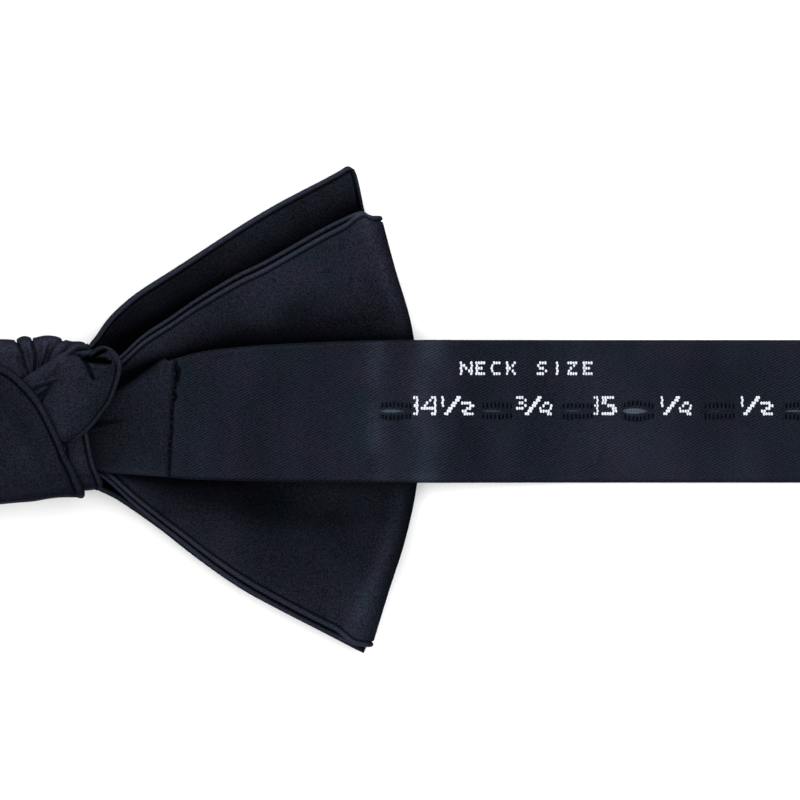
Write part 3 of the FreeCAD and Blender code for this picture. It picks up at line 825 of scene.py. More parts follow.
def knot_flap():
    """The tucked flap: straight lines from its root under the crossing band to its rounded edge, domed between. The
    mouth of the fold is a deep slit at its chin side, and a short crease runs down from it."""
    edge, root = smooth_line(FLAP_EDGE, 241), smooth_line(FLAP_ROOT, 241)

    def place(u, v):
        """From the root at v = 0 to the edge at v = 1, both at u, over a dome that falls to the edge."""
        u, v = np.broadcast_arrays(u, v)
        plan = on_line(root, u) * (1 - v[..., None]) + on_line(edge, u) * v[..., None]
        z = 15.3 + 1.75 * (1 - v**2.4) - 0.7 * (1 - v) ** 6
        z = z + 0.15 * np.sin(np.pi * u) - 0.9 * step(u, 0.86, 1.0) * v
        return np.concatenate([plan, z[..., None]], axis=-1)

    def folds(x, y, z):
        """The mouth and the crease cut in, and two soft swellings between them."""
        run = crease(x, y, [(11.7, 7.2), (12.1, 6.8), (12.4, 6.2), (12.75, 5.4), (13.2, 4.5)], 0.19)
        dome = crease(x, y, [(9.6, 6.9), (10.6, 6.3), (11.4, 5.2)], 0.9)
        side = crease(x, y, [(13.2, 6.1), (14.2, 6.0), (15.3, 5.7)], 0.5)
        return -0.95 * mouth(x, y) - 0.5 * run + 0.25 * dome + 0.25 * side + 0.14 * ripple(x, y, 3.4, 71)

    def mouth(x, y):
        """1 in the slit of the fold, which is the deepest of four short creases."""
        deep = crease(x, y, [(12.2, 7.24), (13.0, 7.08), (13.8, 7.0), (14.7, 6.95)], 0.38)
        deep = np.maximum(deep, crease(x, y, [(14.5, 6.95), (15.45, 6.75)], 0.22))
        deep = np.maximum(deep, 0.8 * crease(x, y, [(9.6, 7.6), (10.8, 7.62), (12.0, 7.35)], 0.15))
        return np.maximum(deep, 0.9 * crease(x, y, [(13.1, 7.4), (13.7, 7.75), (14.3, 8.1), (14.8, 8.3)], 0.22))

    def shade(x, y, z):
        """Painted shade in the mouth, and painted highlight on its lip, along the root and over the flap's inner part.
        """
        lit = crease(x, y, [(10.6, 7.9), (11.6, 7.8), (12.7, 7.75)], 0.25)
        lit = lit + 0.5 * crease(x, y, [(9.0, 6.6), (8.2, 5.0)], 0.5)
        return 0.6 * mouth(x, y) - 0.25 * lit - 0.14 * (1 - step(x, 11, 14))

    def hemmed(u, v):
        """Only the outer edge, past the mouth, has a hem that shows."""
        return step(v, 0.35, 0.5) * step(u, 0.30, 0.42)

    # The mouth and the crease get painted shade from their relief as well.
    return cloth("knot_flap_silk", place, (190, 120), half=0.5, relief=folds, wide=0.95, bead=0.12, groove=0.6,
                 seamed=hemmed, shade=shade)


def cross_band():
    """The short band at the knot's lower right. It comes from under the flap and turns down over the chest side."""
    place = skin([
        [(8.6, -1.5, 14.9), (8.6, -4.0, 15.1), (8.9, -7.0, 15.3), (9.6, -9.2, 15.1), (10.3, -10.3, 13.8),
         (10.4, -10.7, 11.0), (10.3, -10.6, 8.0)],
        [(10.6, -1.5, 14.9), (10.9, -4.2, 15.1), (11.4, -7.4, 15.5), (12.0, -9.1, 15.3), (12.5, -10.1, 13.9),
         (12.6, -10.5, 11.0), (12.4, -10.4, 8.0)],
        [(12.2, -1.5, 14.8), (12.75, -4.4, 15.0), (13.4, -7.6, 15.1), (14.2, -9.3, 14.6), (14.5, -10.0, 13.2),
         (14.2, -10.4, 11.0), (13.8, -10.3, 8.0)],
    ])

    def folds(x, y, z):
        """A soft unevenness."""
        return 0.10 * ripple(x, y, 2.6, 81)

    return cloth("knot_cross_band_silk", place, (60, 40), half=0.5, relief=folds, bead=0.2, groove=0.6)


def gathered_middle(name, y0, y1, z0, z1, seed):
    """A pinched bundle of cloth along X: an oval tube whose radius swells and falls round it, once for each fold.
    Its ends are closed on their middles."""
    sides, half_length = 96, 11.6
    turn = np.linspace(0, 2 * np.pi, sides + 1)[:-1]
    x = np.linspace(-half_length, half_length, 25)
    taper = np.clip(np.sqrt(np.clip(1 - (np.abs(x) / half_length) ** 8, 0, 1)), 0.02, 1)
    folds = 1 + 0.05 * np.sin(9 * turn[None, :] + 0.06 * x[:, None] + seed)
    y = (y0 + y1) / 2 + (y1 - y0) / 2 * np.cos(turn)[None, :] * folds * taper[:, None]
    z = (z0 + z1) / 2 + (z1 - z0) / 2 * np.sin(turn)[None, :] * folds * taper[:, None]
    grid = np.stack([np.broadcast_to(x[:, None], y.shape), y, z], axis=-1)
    points = np.concatenate([grid.reshape(-1, 3), [grid[0].mean(0)], [grid[-1].mean(0)]])
    index = ring_numbers(len(x), sides)
    first, last, centre = index[0], index[-1], np.full(sides, grid[..., 0].size)
    faces = quads_of(index)[:, ::-1].tolist()
    faces += np.stack([centre, first[1:], first[:-1]], axis=-1).tolist()
    faces += np.stack([centre + 1, last[:-1], last[1:]], axis=-1).tolist()
    return mesh_of_faces(name, points, faces)


class BOWTIE_OT_knot(bpy.types.Operator):
    """Make the gathered middles, the band round the knot with its pleats, the flap and the cross band"""
    bl_idname = "bowtie.knot"
    bl_label = "Knot"

    def execute(self, context):
        silk = silk_material()
        dressed(gathered_middle("front_bow_middle", -8.4, 8.0, 2.4, 6.2, 0), silk, ["front_bow_gather"],
                "bow")
        dressed(gathered_middle("back_bow_middle", -7.8, 7.0, 6.8, 10.8, 1), silk, ["back_bow_gather"],
                "bow")
        wrap = dressed(knot_wrap(), silk, ["knot_front_wrap", "knot_top_pleats"], "bow")
        strip = dressed(pleat_strip(), silk, [], "bow")
        flap = dressed(knot_flap(), silk, ["knot_flap"], "bow")
        band = dressed(cross_band(), silk, ["knot_cross_band"], "bow")
        return {"FINISHED"}


# ---------------------------------------------------------------- the neckband

HINGE = 18.8
RISE = 12.6
FIRST_SLOPE, STEEP_SLOPE = math.radians(-8), math.radians(-19)
OVER_WING, BEND = 37.0, 45.0
TUBE_MIDDLE = 0.64


def band_route(length):
    """A band's underside as (x, z, slope) against distance from the knot: a gentle slope over the wing, a bend to a
    steeper one, a bend back, and then flat along the table. Before the knot's edge it runs on level."""
    s = np.linspace(-12, 260, 8161)
    ds = s[1] - s[0]
    bend1 = OVER_WING + BEND * (FIRST_SLOPE - STEEP_SLOPE)
    drop1 = -OVER_WING * math.sin(FIRST_SLOPE) + BEND * (math.cos(FIRST_SLOPE) - math.cos(STEEP_SLOPE))
    drop2 = BEND * (1 - math.cos(STEEP_SLOPE))
    fall = (RISE - drop1 - drop2) / -math.sin(STEEP_SLOPE)
    marks = [s[0], -2.5, 0.5, OVER_WING, bend1, bend1 + fall, bend1 + fall - BEND * STEEP_SLOPE, s[-1]]
    slope = np.interp(s, marks, [0, 0, FIRST_SLOPE, FIRST_SLOPE, STEEP_SLOPE, STEEP_SLOPE, 0, 0])
    x, z = np.cumsum(np.cos(slope)) * ds, np.cumsum(np.sin(slope)) * ds
    x += HINGE - np.interp(0, s, x)
    z -= z[-1]
    at = np.asarray(length, float)
    return np.interp(at, s, x), np.interp(at, s, z), np.interp(at, s, slope)


def on_band(distance, lift):
    """(x, z) of a point that far along a band and lifted that far off its underside, square to it."""
    x, z, slope = band_route(distance)
    return x - np.sin(slope) * lift, z + np.cos(slope) * lift


# The right band's two edges in plan
CHIN_EDGE = [(7, 2.0), (12, 3.4), (14.5, 4.2), (17.3, 5.0), (20.5, 6.1), (24.0, 7.1), (28, 8.25), (33, 8.9),
             (39, 9.35), (49, 9.8), (58, 9.95), (80, 9.95), (210, 9.95)]
CHEST_EDGE = [(7, -7.6), (12, -8.2), (14.6, -8.6), (24.1, -9.3), (28, -9.6), (42, -9.92), (60, -10.05),
              (80, -10.05), (210, -10.05)]
BAND_START, BAND_END = -11, 184.9
SEAM_X = 24.2
# Beyond this line the right band's corner by the knot curls down
TURN_LINE = [(7, -1.5), (13, 0.5), (15.6, 1.6), (18.3, 3.2), (21, 5.0), (23.7, 7.0), (26, 8.6), (30, 10), (210, 11)]


def seam_at(y):
    """Where the seam between the silk and the tape runs. It leans outwards on the chin side."""
    return SEAM_X + 0.045 * y + 0.10 * ripple(y * 0, y, 1.3, 117)


def seam_gap(y):
    """Half width of the gap that is left open along the seam: ragged on the chin side, and hardly open elsewhere."""
    open_part = 0.80 * step(y, 0.9, 2.0) * (1 - step(y, 6.4, 7.4)) * (0.55 + 0.45 * ripple(y * 0, y, 0.75, 115))
    return 0.04 + open_part + 0.16 * step(y, -5.2, -4.2) * (0.5 + 0.5 * ripple(y * 0, y, 0.6, 116))


def silk_back():
    """The right band's silk tube, from under the flap to its end. Its chin-side corner curls down beside the knot, a
    short dart runs out from the flap, and it dips at the seam where the size tape starts."""
    def place(u, v):
        """Along the band on u and from its chin-side edge on v, lowered by the curl, the dart and the seam."""
        u, v = np.broadcast_arrays(u, v)
        x, z = on_band(BAND_START + (BAND_END - BAND_START) * u, TUBE_MIDDLE)
        low, high = height_at(x, CHEST_EDGE), height_at(x, CHIN_EDGE)
        y = high + (low - high) * v
        turn_line = height_at(x, TURN_LINE)
        curl = np.clip((y - turn_line) / np.maximum(high - turn_line, 0.2), 0, 1.2)
        z = z - 2.6 * curl**1.3 * (1 - step(x, 20, 25)) - 1.8 * (1 - step(x, 14.5, 24.3))
        fade = 1 - step(x, 14.0, 18.9)
        dart = crease_if(x, y, [(12.4, -2.0), (15.5, -1.55), (18.9, -1.0)], 0.30) * fade
        under = crease_if(x, y, [(12.4, -2.8), (15.5, -2.35), (18.3, -1.8)], 0.5) * fade
        seam, gap = seam_at(y), seam_gap(y)
        z = z - 0.42 * dart + 0.16 * under - 0.8 * bell(x - seam, gap / 2, 0.12 + 0.6 * gap, 4)
        z = z - 0.15 * step(x, seam, seam + 0.6)
        return np.stack([x, y, z + 0.08 * ripple(x, y, 5, 91) * (1 - step(x, 22, 26))], axis=-1)

    def beside_knot(x, y, z):
        """Painted shade where the corner curls down, by the flap, in the dart and along the seam, and a little over
        all the silk before the seam.
        """
        line = height_at(x, TURN_LINE)
        curled = 0.85 * step(y - line, -0.1, 0.5) * (1 - step(x, 23, 26))
        near_flap = 0.35 * (1 - step(x, 12.5, 18.0)) * (y < 0)
        dart = 0.5 * crease_if(x, y, [(12.4, -1.9), (15.5, -1.6), (18.3, -1.15)], 0.42) * (1 - step(x, 15.0, 18.6))
        seam = 0.5 * bell(x - seam_at(y), -0.1, 0.35)
        return (curled + near_flap + dart + 0.22) * (1 - step(x, 23.4, 24.6)) + seam

    def along(length):
        """Distances of the grid's lines: closest at the hems, and close near the knot."""
        close = np.arange(1.8, 20, 0.2)
        rest = np.linspace(20, length - EDGE_STEPS[-1], 130)
        return np.concatenate([EDGE_STEPS, close, rest, (length - EDGE_STEPS[::-1])[1:]])

    return cloth("right_band_silk", place, (0, 60), half=TUBE_MIDDLE, along=along, bead=0, groove=0,
                 shade=beside_knot)


def crease_if(x, y, line, width):
    """crease, worked out only near its line, because the band is long."""
    path = np.array(line)
    near = (x > path[:, 0].min() - 4 * width) & (x < path[:, 0].max() + 4 * width)
    found = np.zeros(x.shape)
    found[near] = crease(x[near], y[near], line, width)
    return found


def left_silk():
    """The left band in one piece: along the table, over the left wing, across the back of the knot, and down round
    its chest side. Its chin-side hem is the slanting edge that crosses the knot."""
    knot_lines = [
        [(-16.5, 6.6, 13.5), (-12, 6.5, 15.1), (-6, 6.5, 16.8), (-2, 6.45, 17.5), (0.6, 6.35, 17.75),
         (2.0, 5.65, 17.9), (3.3, 4.55, 17.95), (5.0, 2.75, 18.05), (6.35, 0.85, 18.1), (7.5, -1.4, 17.95),
         (8.65, -3.9, 17.6), (9.3, -5.7, 17.2), (10.3, -7.5, 16.9), (11.2, -9.4, 16.2), (11.9, -10.9, 14.6),
         (12.0, -11.5, 11.5), (11.8, -11.4, 7.2)],
        [(-16.5, 1.6, 13.5), (-10, 1.6, 15.6), (-3, 1.5, 17.1), (1.2, 0.2, 17.6), (4.4, -2.9, 17.7),
         (6.8, -7.0, 17.4), (7.9, -9.8, 16.9), (8.3, -11.1, 15.3), (8.4, -11.5, 12.0), (8.3, -11.4, 7.2)],
        [(-16.5, -3.4, 13.5), (-10, -3.4, 15.5), (-3, -3.9, 16.9), (1.2, -5.6, 17.4), (3.4, -8.8, 17.2),
         (4.2, -10.7, 16.6), (4.4, -11.7, 15.0), (4.4, -12.0, 12.0), (4.3, -11.9, 7.2)],
        [(-16.5, -8.4, 13.5), (-10, -8.4, 15.2), (-5, -8.7, 16.8), (-1.8, -9.8, 16.9), (-0.4, -11.3, 16.4),
         (-0.1, -12.2, 14.8), (-0.1, -12.5, 12.0), (-0.1, -12.4, 7.2)],
        [(-16.5, -13.4, 13.5), (-12, -13.2, 14.7), (-8.5, -12.7, 15.1), (-6.2, -12.6, 14.7), (-5.2, -12.9, 13.0),
         (-5.0, -12.95, 11.4), (-5.0, -12.95, 9.4), (-5.0, -12.9, 7.2)],
    ]
    x, z = on_band(np.concatenate([np.linspace(217.1, 12, 60), np.linspace(11, 0.3, 24)]), TUBE_MIDDLE)
    table = []
    for line, y in zip(knot_lines, (6.6, 1.6, -3.4, -8.4, -13.4)):
        straight = np.column_stack([-x, np.full(len(x), y), z])
        table.append(np.vstack([straight, smooth_line(line, 120)]))
    place = skin_of_table(np.array(table))

    def folds(x, y, z):
        """A notch in the slanting hem, and a soft diagonal drape with some unevenness on the knot."""
        notch = crease_if(x, y, [(7.9, -5.9), (8.6, -6.05), (9.5, -6.3)], 0.20)
        drape = 0.25 * crease_if(x, y, [(-4, 2.5), (1.5, -1.0), (4.5, -6.5), (6.3, -10.0)], 1.6)
        return -0.18 * notch + (drape - 0.12 * ripple(x, y, 4.2, 101)) * step(x, -16, -10)

    def turned_away(x, y, z):
        """Painted shade: a little darker over the knot."""
        return 0.16 * step(x, -12, -6) * step(y, -11.5, -7) * step(z, 13, 15)

    def along(length):
        """Distances of the grid's lines: closest at the hems, and close over the knot."""
        rest = np.linspace(EDGE_STEPS[-1], 205, 130)
        last = np.arange(205.3, length - EDGE_STEPS[-1] - 0.1, 0.3)
        return np.concatenate([EDGE_STEPS[:-1], rest, last, length - EDGE_STEPS[::-1]])

    # The band's very edge is painted a little darker, as painted shade.
    return cloth("left_band_silk", place, (0, 76), half=0.62, relief=folds, along=along, wide=1.2, bead=0.12,
                 groove=0.60, shade=turned_away, painted_edge_light=-0.25)


# Rows of the tape's grid from the buttonholes' line to its edge, as shares of its half width
TAPE_ROWS = np.concatenate([[0, 0.012, 0.03, 0.055, 0.09, 0.13], np.linspace(0.175, 0.86, 22),
                            [0.89, 0.92, 0.945, 0.965, 0.982, 0.993, 1.0]])
TAPE_END = 202.95
TAPE_UNDER, TAPE_TOP = 1.28, 1.80

# Middles of the buttonholes, the length of one, and how far each stands open
SLOTS = np.cumsum([55.2, 14.1, 11.3, 8.6, 11.3, 11.3, 11.3, 8.6, 11.3, 11.3, 11.3, 8.6, 11.3])
SLOT_LENGTH, LAST_GAP = 4.2, 11.3
OPEN = [0.85, 0.45, 0.35, 1.5, 0.25, 0.6, 0.8, 0.4, 0.6, 0.4, 0.7, 0.6, 0.5]


def along_band_to(x):
    """Distance along a band to where its top face is at x."""
    s = np.linspace(-11, 250, 5221)
    return np.interp(x, on_band(s, 1.8)[0], s)


def slit_opening(x):
    """Half width of the buttonholes at x: each is a lens, widest a third of the way along."""
    half = np.zeros(np.shape(x))
    for middle, share in zip(SLOTS, OPEN):
        t = np.clip((x - middle) / SLOT_LENGTH + 0.5, 0, 1)
        lens = np.sin(np.pi * np.minimum(t / 0.88, 1)) ** 0.7 * (1 - 0.45 * t) + 0.10 * np.sin(np.pi * t)
        half += share * sizes().slit / MM / 2 * np.where((t > 0) & (t < 1), lens, 0)
    return half


def tape_light_shade_and_patches(points):
    """Painted light and shade on the tape at points: painted highlights in two bands where it bends down off the
    wing, a soft lighter patch further out, painted shade by the seam, and a few soft patches of uneven tone.
    """
    x, y = points[:, 0], points[:, 1]
    # Painted highlights where the tape bends, and a soft lighter patch.
    lighter_areas = 1.15 * bell(x, 60.4, 2.2) * (0.75 + 0.5 * ripple(x, y, 3.0, 118))
    lighter_areas += 0.80 * bell(x, 52.6, 1.5) * (0.7 + 0.6 * ripple(x, y, 3.0, 119))
    lighter_areas += 0.30 * bell(x, 86, 5.0) * bell(y, -4, 5.0)
    patches = 0.16 * ripple(x, y, 6.0, 120) * step(x, 52, 56)
    # Painted shade by the seam.
    by_seam = 0.14 * (1 - step(x, 40, 54))
    return by_seam - lighter_areas - patches


def from_slot(x):
    """Distance from each x to the nearest buttonhole's middle."""
    return np.min(np.abs(x[:, None] - SLOTS), axis=1)


def tape_columns():
    """X of the tape's grid lines: closest at both ends and along the buttonholes, and even between."""
    inner = [np.linspace(m - SLOT_LENGTH / 2, m + SLOT_LENGTH / 2, 22) for m in SLOTS]
    plain = np.arange(SEAM_X + 2, TAPE_END - 0.55, 0.75)
    plain = plain[from_slot(plain) > SLOT_LENGTH / 2 + 0.3]
    start = SEAM_X + np.array([0, 0.03, 0.09, 0.18, 0.3, 0.45, 0.65, 0.9, 1.2, 1.6])
    stop = TAPE_END - np.array([0.5, 0.35, 0.22, 0.12, 0.05, 0.0])
    return np.sort(np.concatenate([start, plain, *inner, stop]))


def tape_half(x, side, edge):
    """The top of the tape from the buttonholes' line to one edge. It turns down at the edge and at both ends, and is
    a little proud in a bead by the edge and in a lip round each slit. Its start follows the seam."""
    opening = slit_opening(x)[:, None]
    column, edge = x[:, None], edge[:, None]
    y = side * opening + (edge - side * opening) * TAPE_ROWS[None, :]
    from_edge = np.abs(edge - y)
    rolled = quarter_round(from_edge, 0.32) * quarter_round(np.maximum(column - SEAM_X, 0), 0.35)
    rolled = rolled * quarter_round(np.maximum(TAPE_END - column, 0), 0.3)
    by_slit = bell(y, 0, 1.9) * bell(from_slot(x), 0, 2.6, 4)[:, None]
    lip = 0.10 * bell(np.abs(y) - opening, 0, 0.35) * (opening > 1e-4)
    lift = TAPE_UNDER + 0.50 * rolled + 0.07 * bell(from_edge, 0.5, 0.3) + 0.05 * by_slit + lip
    lift += 0.05 * ripple(column + 0 * y, y, 4.5, 112) + 0.03 * ripple(column + 0 * y, y, 1.6, 113)
    shift = (seam_at(y) - SEAM_X + seam_gap(y)) * (1 - step(column, SEAM_X, SEAM_X + 3))
    px, pz = on_band(along_band_to(x)[:, None] + shift, lift)
    return np.stack([px, y, pz], axis=-1).reshape(-1, 3)


def size_tape():
    """The twill tape. Each half runs from the buttonholes' line to an edge that turns down, and the halves share
    their vertices except along the slits, where a lens is left open between them."""
    x = tape_columns()
    points = np.concatenate([tape_half(x, 1, height_at(x, CHIN_EDGE) - 0.12),
                             tape_half(x, -1, height_at(x, CHEST_EDGE) + 0.12)])
    cells = len(x) * len(TAPE_ROWS)
    upper = np.arange(cells).reshape(len(x), -1)
    lower = cells + upper
    lower[:, 0] = np.where(slit_opening(x) > 1e-4, lower[:, 0], upper[:, 0])
    faces = np.concatenate([quads_of(upper), quads_of(lower)[:, ::-1]])
    used, faces = np.unique(faces, return_inverse=True)
    points = points[used]
    # The tape's colour carries its painted light and shade.
    tape = mesh_object("size_tape_twill", points, faces.reshape(-1, 4), [("painted_light_and_shade", tape_light_shade_and_patches(points))])
    solid = tape.modifiers.new("cloth", "SOLIDIFY")
    solid.thickness, solid.offset, solid.use_even_offset = 0.2 * MM, -1, False
    return tape


class BOWTIE_OT_bands(bpy.types.Operator):
    """Make the silk of both halves of the neckband, each in one piece into the knot"""
    bl_idname = "bowtie.bands"
    bl_label = "Neckband silk"

    def execute(self, context):
        silk = silk_material()
        right = dressed(silk_back(), silk,
                        ["right_band_cover", "right_band_interlining", "right_band_root"],
                        across=("bow", "right_band", 17.1, 23.4))
        left = dressed(left_silk(), silk, ["left_band_cover", "left_band_interlining", "left_band_turn"],
                       across=("bow", "left_band", -16.5, -23.0))
        return {"FINISHED"}


# ---------------------------------------------------------------- tape, buttonholes and figures

def small_pads(name, centres, lengths, widths, heights, turns):
    """Many short threads as one mesh. Each is half of a rounded capsule lying on the tape: a grid of an angle round
    it and a place along it, with the tape's own slope under it."""
    def each_one(values):
        """One value for each thread, ready to spread over its grid."""
        return np.broadcast_to(np.asarray(values, float), (len(centres),))[:, None, None]

    around, out = np.linspace(0, np.pi, 6), np.linspace(0, np.pi, 7)
    across = np.cos(around)[:, None] * np.sin(out)[None, :] ** 0.55
    rise = np.sin(around)[:, None] * np.sin(out)[None, :] ** 0.55
    along = np.broadcast_to(-np.cos(out)[None, :], across.shape)
    c = np.asarray(centres, float)
    a, l = each_one(widths) / 2 * across, each_one(lengths) / 2 * along
    turn = np.radians(each_one(turns))
    x = c[:, 0, None, None] + a * np.cos(turn) - l * np.sin(turn)
    y = c[:, 1, None, None] + a * np.sin(turn) + l * np.cos(turn)
    px, pz = on_band(along_band_to(x), c[:, 2, None, None] + each_one(heights) * rise - 0.05)
    points = np.stack([px, y, pz], axis=-1)
    index = np.arange(across.size).reshape(across.shape)
    under = np.stack([index[0, :-1], index[-1, :-1], index[-1, 1:], index[0, 1:]], axis=-1)
    each = np.concatenate([quads_of(index), under])
    faces = (each[None] + across.size * np.arange(len(c))[:, None, None]).reshape(-1, 4)
    return mesh_object(name, points.reshape(-1, 3), faces)


# Woven figures, one character for each thread: rows from the top
GLYPHS = {
    "1": ["##", ".#", ".#", "##", ".#", ".#", "##"],
    "4": ["....##", "...#.#", "..#..#", ".#...#", "######", ".....#", "....##"],
    "5": ["#####.", "##....", "##....", "..###.", "....##", "....##", "#####."],
    "6": ["..####", "##....", "##....", "#####.", "##..##", "##..##", ".####."],
    "7": ["######", "....##", "....#.", "...##.", "...#..", "..##..", "..##.."], "n1": ["#", "#", "#", "#"],
    "n3": ["###.", "...#", ".##.", "...#", "###."],
    "/": ["......##", ".....##.", "....##..", "...##...", "..##....", ".##.....", "##......"],
    "d2": ["####.", "...##", "..##.", "##...", ".####"], "d4": ["..##.", ".#..#", "#...#", "####.", "...##"],
    "N": ["#...#", "##..#", "#.#.#", "#..##", "#...#"], "E": ["####", "#...", "###.", "#...", "####"],
    "C": [".###", "#...", "#...", "#...", ".###"], "K": ["#..#", "#.#.", "##..", "#.#.", "#..#"],
    "S": [".###", "#...", ".##.", "...#", "###."], "I": ["#", "#", "#", "#", "#"],
    "Z": ["####", "..#.", ".#..", "#...", "####"],
}
THREAD_X, THREAD_Y = 0.36, 0.377
FIGURE_TOP, BELOW_STROKE = 2.07, 0.78
WORD_X, WORD_TOP, LETTER_PITCH = 64.4, 6.92, 2.15


def glyph_threads(glyph, x, top, across=THREAD_X):
    """(x, y) of each thread of one figure whose left side is at x and top at top. Rows shift a little to and fro, as
    the floats of a woven figure do."""
    found = []
    for row, line in enumerate(GLYPHS[glyph]):
        for column, mark in enumerate(line):
            if mark == "#":
                sway = 0.05 if row % 2 else -0.04
                found.append((x + 0.18 + column * across + sway, top - (row + 0.5) * THREAD_Y))
    return found


# The parts of each label with their distances from its left side, and its whole width
LABELS = {
    "14 1/2": ([("1", 0), ("4", 1.08), ("n1", 3.95), ("/", 4.35), ("d2", 6.73)], 8.5),
    "3/4": ([("n3", 0), ("/", 1.25), ("d4", 3.25)], 5.05),
    "1/4": ([("n1", 0), ("/", 0.36), ("d4", 2.55)], 4.35),
    "1/2": ([("n1", 0), ("/", 0.36), ("d2", 2.75)], 4.5),
    "15": ([("1", 0), ("5", 1.15)], 3.3),
    "16": ([("1", 0), ("6", 1.15)], 3.3),
    "17": ([("1", 0), ("7", 1.15)], 3.3),
}


def figure_threads():
    """Every thread of the figures between the buttonholes and of the words above them."""
    order = ["14 1/2", "3/4", "15", "1/4", "1/2", "3/4", "16", "1/4", "1/2", "3/4", "17", "1/4", "1/2"]
    stops = np.append(SLOTS, SLOTS[-1] + LAST_GAP)
    found = []
    for label, here, there in zip(order, stops[:-1], stops[1:]):
        parts, wide = LABELS[label]
        left = (here + there - wide) / 2 - 0.15
        for glyph, shift in parts:
            across = 0.29 if glyph == "/" else THREAD_X
            top = FIGURE_TOP - (BELOW_STROKE if glyph[0] == "d" else 0)
            found += glyph_threads(glyph, left + shift, top, across)
    x = WORD_X
    for letter in "NECK SIZE":
        if letter != " ":
            found += glyph_threads(letter, x + (0.55 if letter == "I" else 0), WORD_TOP)
        x += LETTER_PITCH
    return np.array(found)


STAY_START, STAY_END, STAY_HALF_WIDTH, STAY_LIFT = 49, 200, 4.5, 1.42


def stay_place(u, v):
    """The stay under the buttonholes: flat along the band on u and across it on v."""
    u, v = np.broadcast_arrays(u, v)
    px, pz = on_band(along_band_to(STAY_START + (STAY_END - STAY_START) * u), STAY_LIFT)
    return np.stack([px, STAY_HALF_WIDTH * (1 - 2 * v), pz], axis=-1)


def seam_stitches():
    """Coarse stitches across the seam, with a few more between. Their lengths and turns are uneven."""
    rng = np.random.default_rng(5)
    y = np.concatenate([np.arange(-8.6, 7.0, 1.15), [5.2, 3.4, 0.6, -1.5]])
    y = y + rng.uniform(-0.2, 0.2, len(y))
    places = np.column_stack([seam_at(y) + 0.08, y, np.full(len(y), 1.30)])
    lengths, turns = rng.uniform(0.35, 0.7, len(y)), rng.uniform(60, 120, len(y))
    return small_pads("seam_stitches", places, lengths, 0.17, 0.16, turns)


class BOWTIE_OT_size_tape(bpy.types.Operator):
    """Make the size tape with its open buttonholes, the stay under them and the stitches of its seam"""
    bl_idname = "bowtie.size_tape"
    bl_label = "Size tape"

    def execute(self, context):
        tape = dressed(size_tape(), tape_material(), ["size_tape"], "right_band")
        stay = cloth("buttonhole_stay", stay_place, (150, 16), half=0.06, roll=0.2, bead=0, groove=0)
        dressed(stay, stay_material(), ["slot_stay"], "right_band")
        dressed(seam_stitches(), dark_thread(), ["tape_seam_stitches"], "right_band")
        return {"FINISHED"}


class BOWTIE_OT_buttonholes(bpy.types.Operator):
    """Make the stitches that edge every buttonhole, and dark pads of painted shade in the needle gaps between them"""
    bl_idname = "bowtie.buttonholes"
    bl_label = "Buttonhole stitches"

    def execute(self, context):
        rng = np.random.default_rng(7)
        stitches, gaps = [], []
        for middle in SLOTS:
            for k in range(8):
                x = middle + (k - 3.5) * 0.56
                edge = float(slit_opening(np.array([x]))[0]) + 0.14
                for side in (1, -1):
                    long = 0.95 + rng.uniform(-0.12, 0.08)
                    y = side * (edge + long / 2)
                    stitches.append((x + rng.uniform(-0.05, 0.05), y, TAPE_TOP + 0.13, long))
                    x_gap = x + 0.28 + rng.uniform(-0.05, 0.05)
                    gaps.append((x_gap, side * (edge + 0.10 + long / 2), TAPE_TOP + 0.15, 0.85 * long))
        # The needle gaps are near-black pads of painted shade, made with a thread material.
        dark, painted_gap_shade = dark_thread(), thread_material("needle_gap", tuple(colours().gap), 0.8, 0.00012)
        rows = (("buttonhole_threads", stitches, 0.32, 0.10, dark), ("buttonhole_gap_shades", gaps, 0.19, 0.06, painted_gap_shade))
        for name, places, wide, high, material in rows:
            places = np.array(places)
            turns = rng.uniform(-6, 6, len(places))
            pads = small_pads(name, places[:, :3], places[:, 3], wide, high, turns)
            dressed(pads, material, ["buttonhole_stitches"], "right_band")
        return {"FINISHED"}


class BOWTIE_OT_figures(bpy.types.Operator):
    """Make the white woven figures and words, thread by thread"""
    bl_idname = "bowtie.figures"
    bl_label = "Woven figures"

    def execute(self, context):
        places = figure_threads()
        rng = np.random.default_rng(9)
        n = len(places)
        centres = np.column_stack([places, np.full(n, TAPE_TOP)])
        lengths, widths = 0.44 + rng.uniform(-0.06, 0.05, n), 0.34 + rng.uniform(-0.03, 0.03, n)
        pads = small_pads("woven_figure_threads", centres, lengths, widths, 0.13, rng.uniform(-7, 7, n))
        white = thread_material("white_thread", tuple(colours().figures), 0.55, 0.00010)
        dressed(pads, white, ["woven_figures"], "right_band")
        return {"FINISHED"}


# ---------------------------------------------------------------- hook and tab

LEFT_SHIFT = -3.4
BAR_X, BAR_Z = -239.2, 1.45
ROD_Z = 0.62
TAB_WIDTH = 14


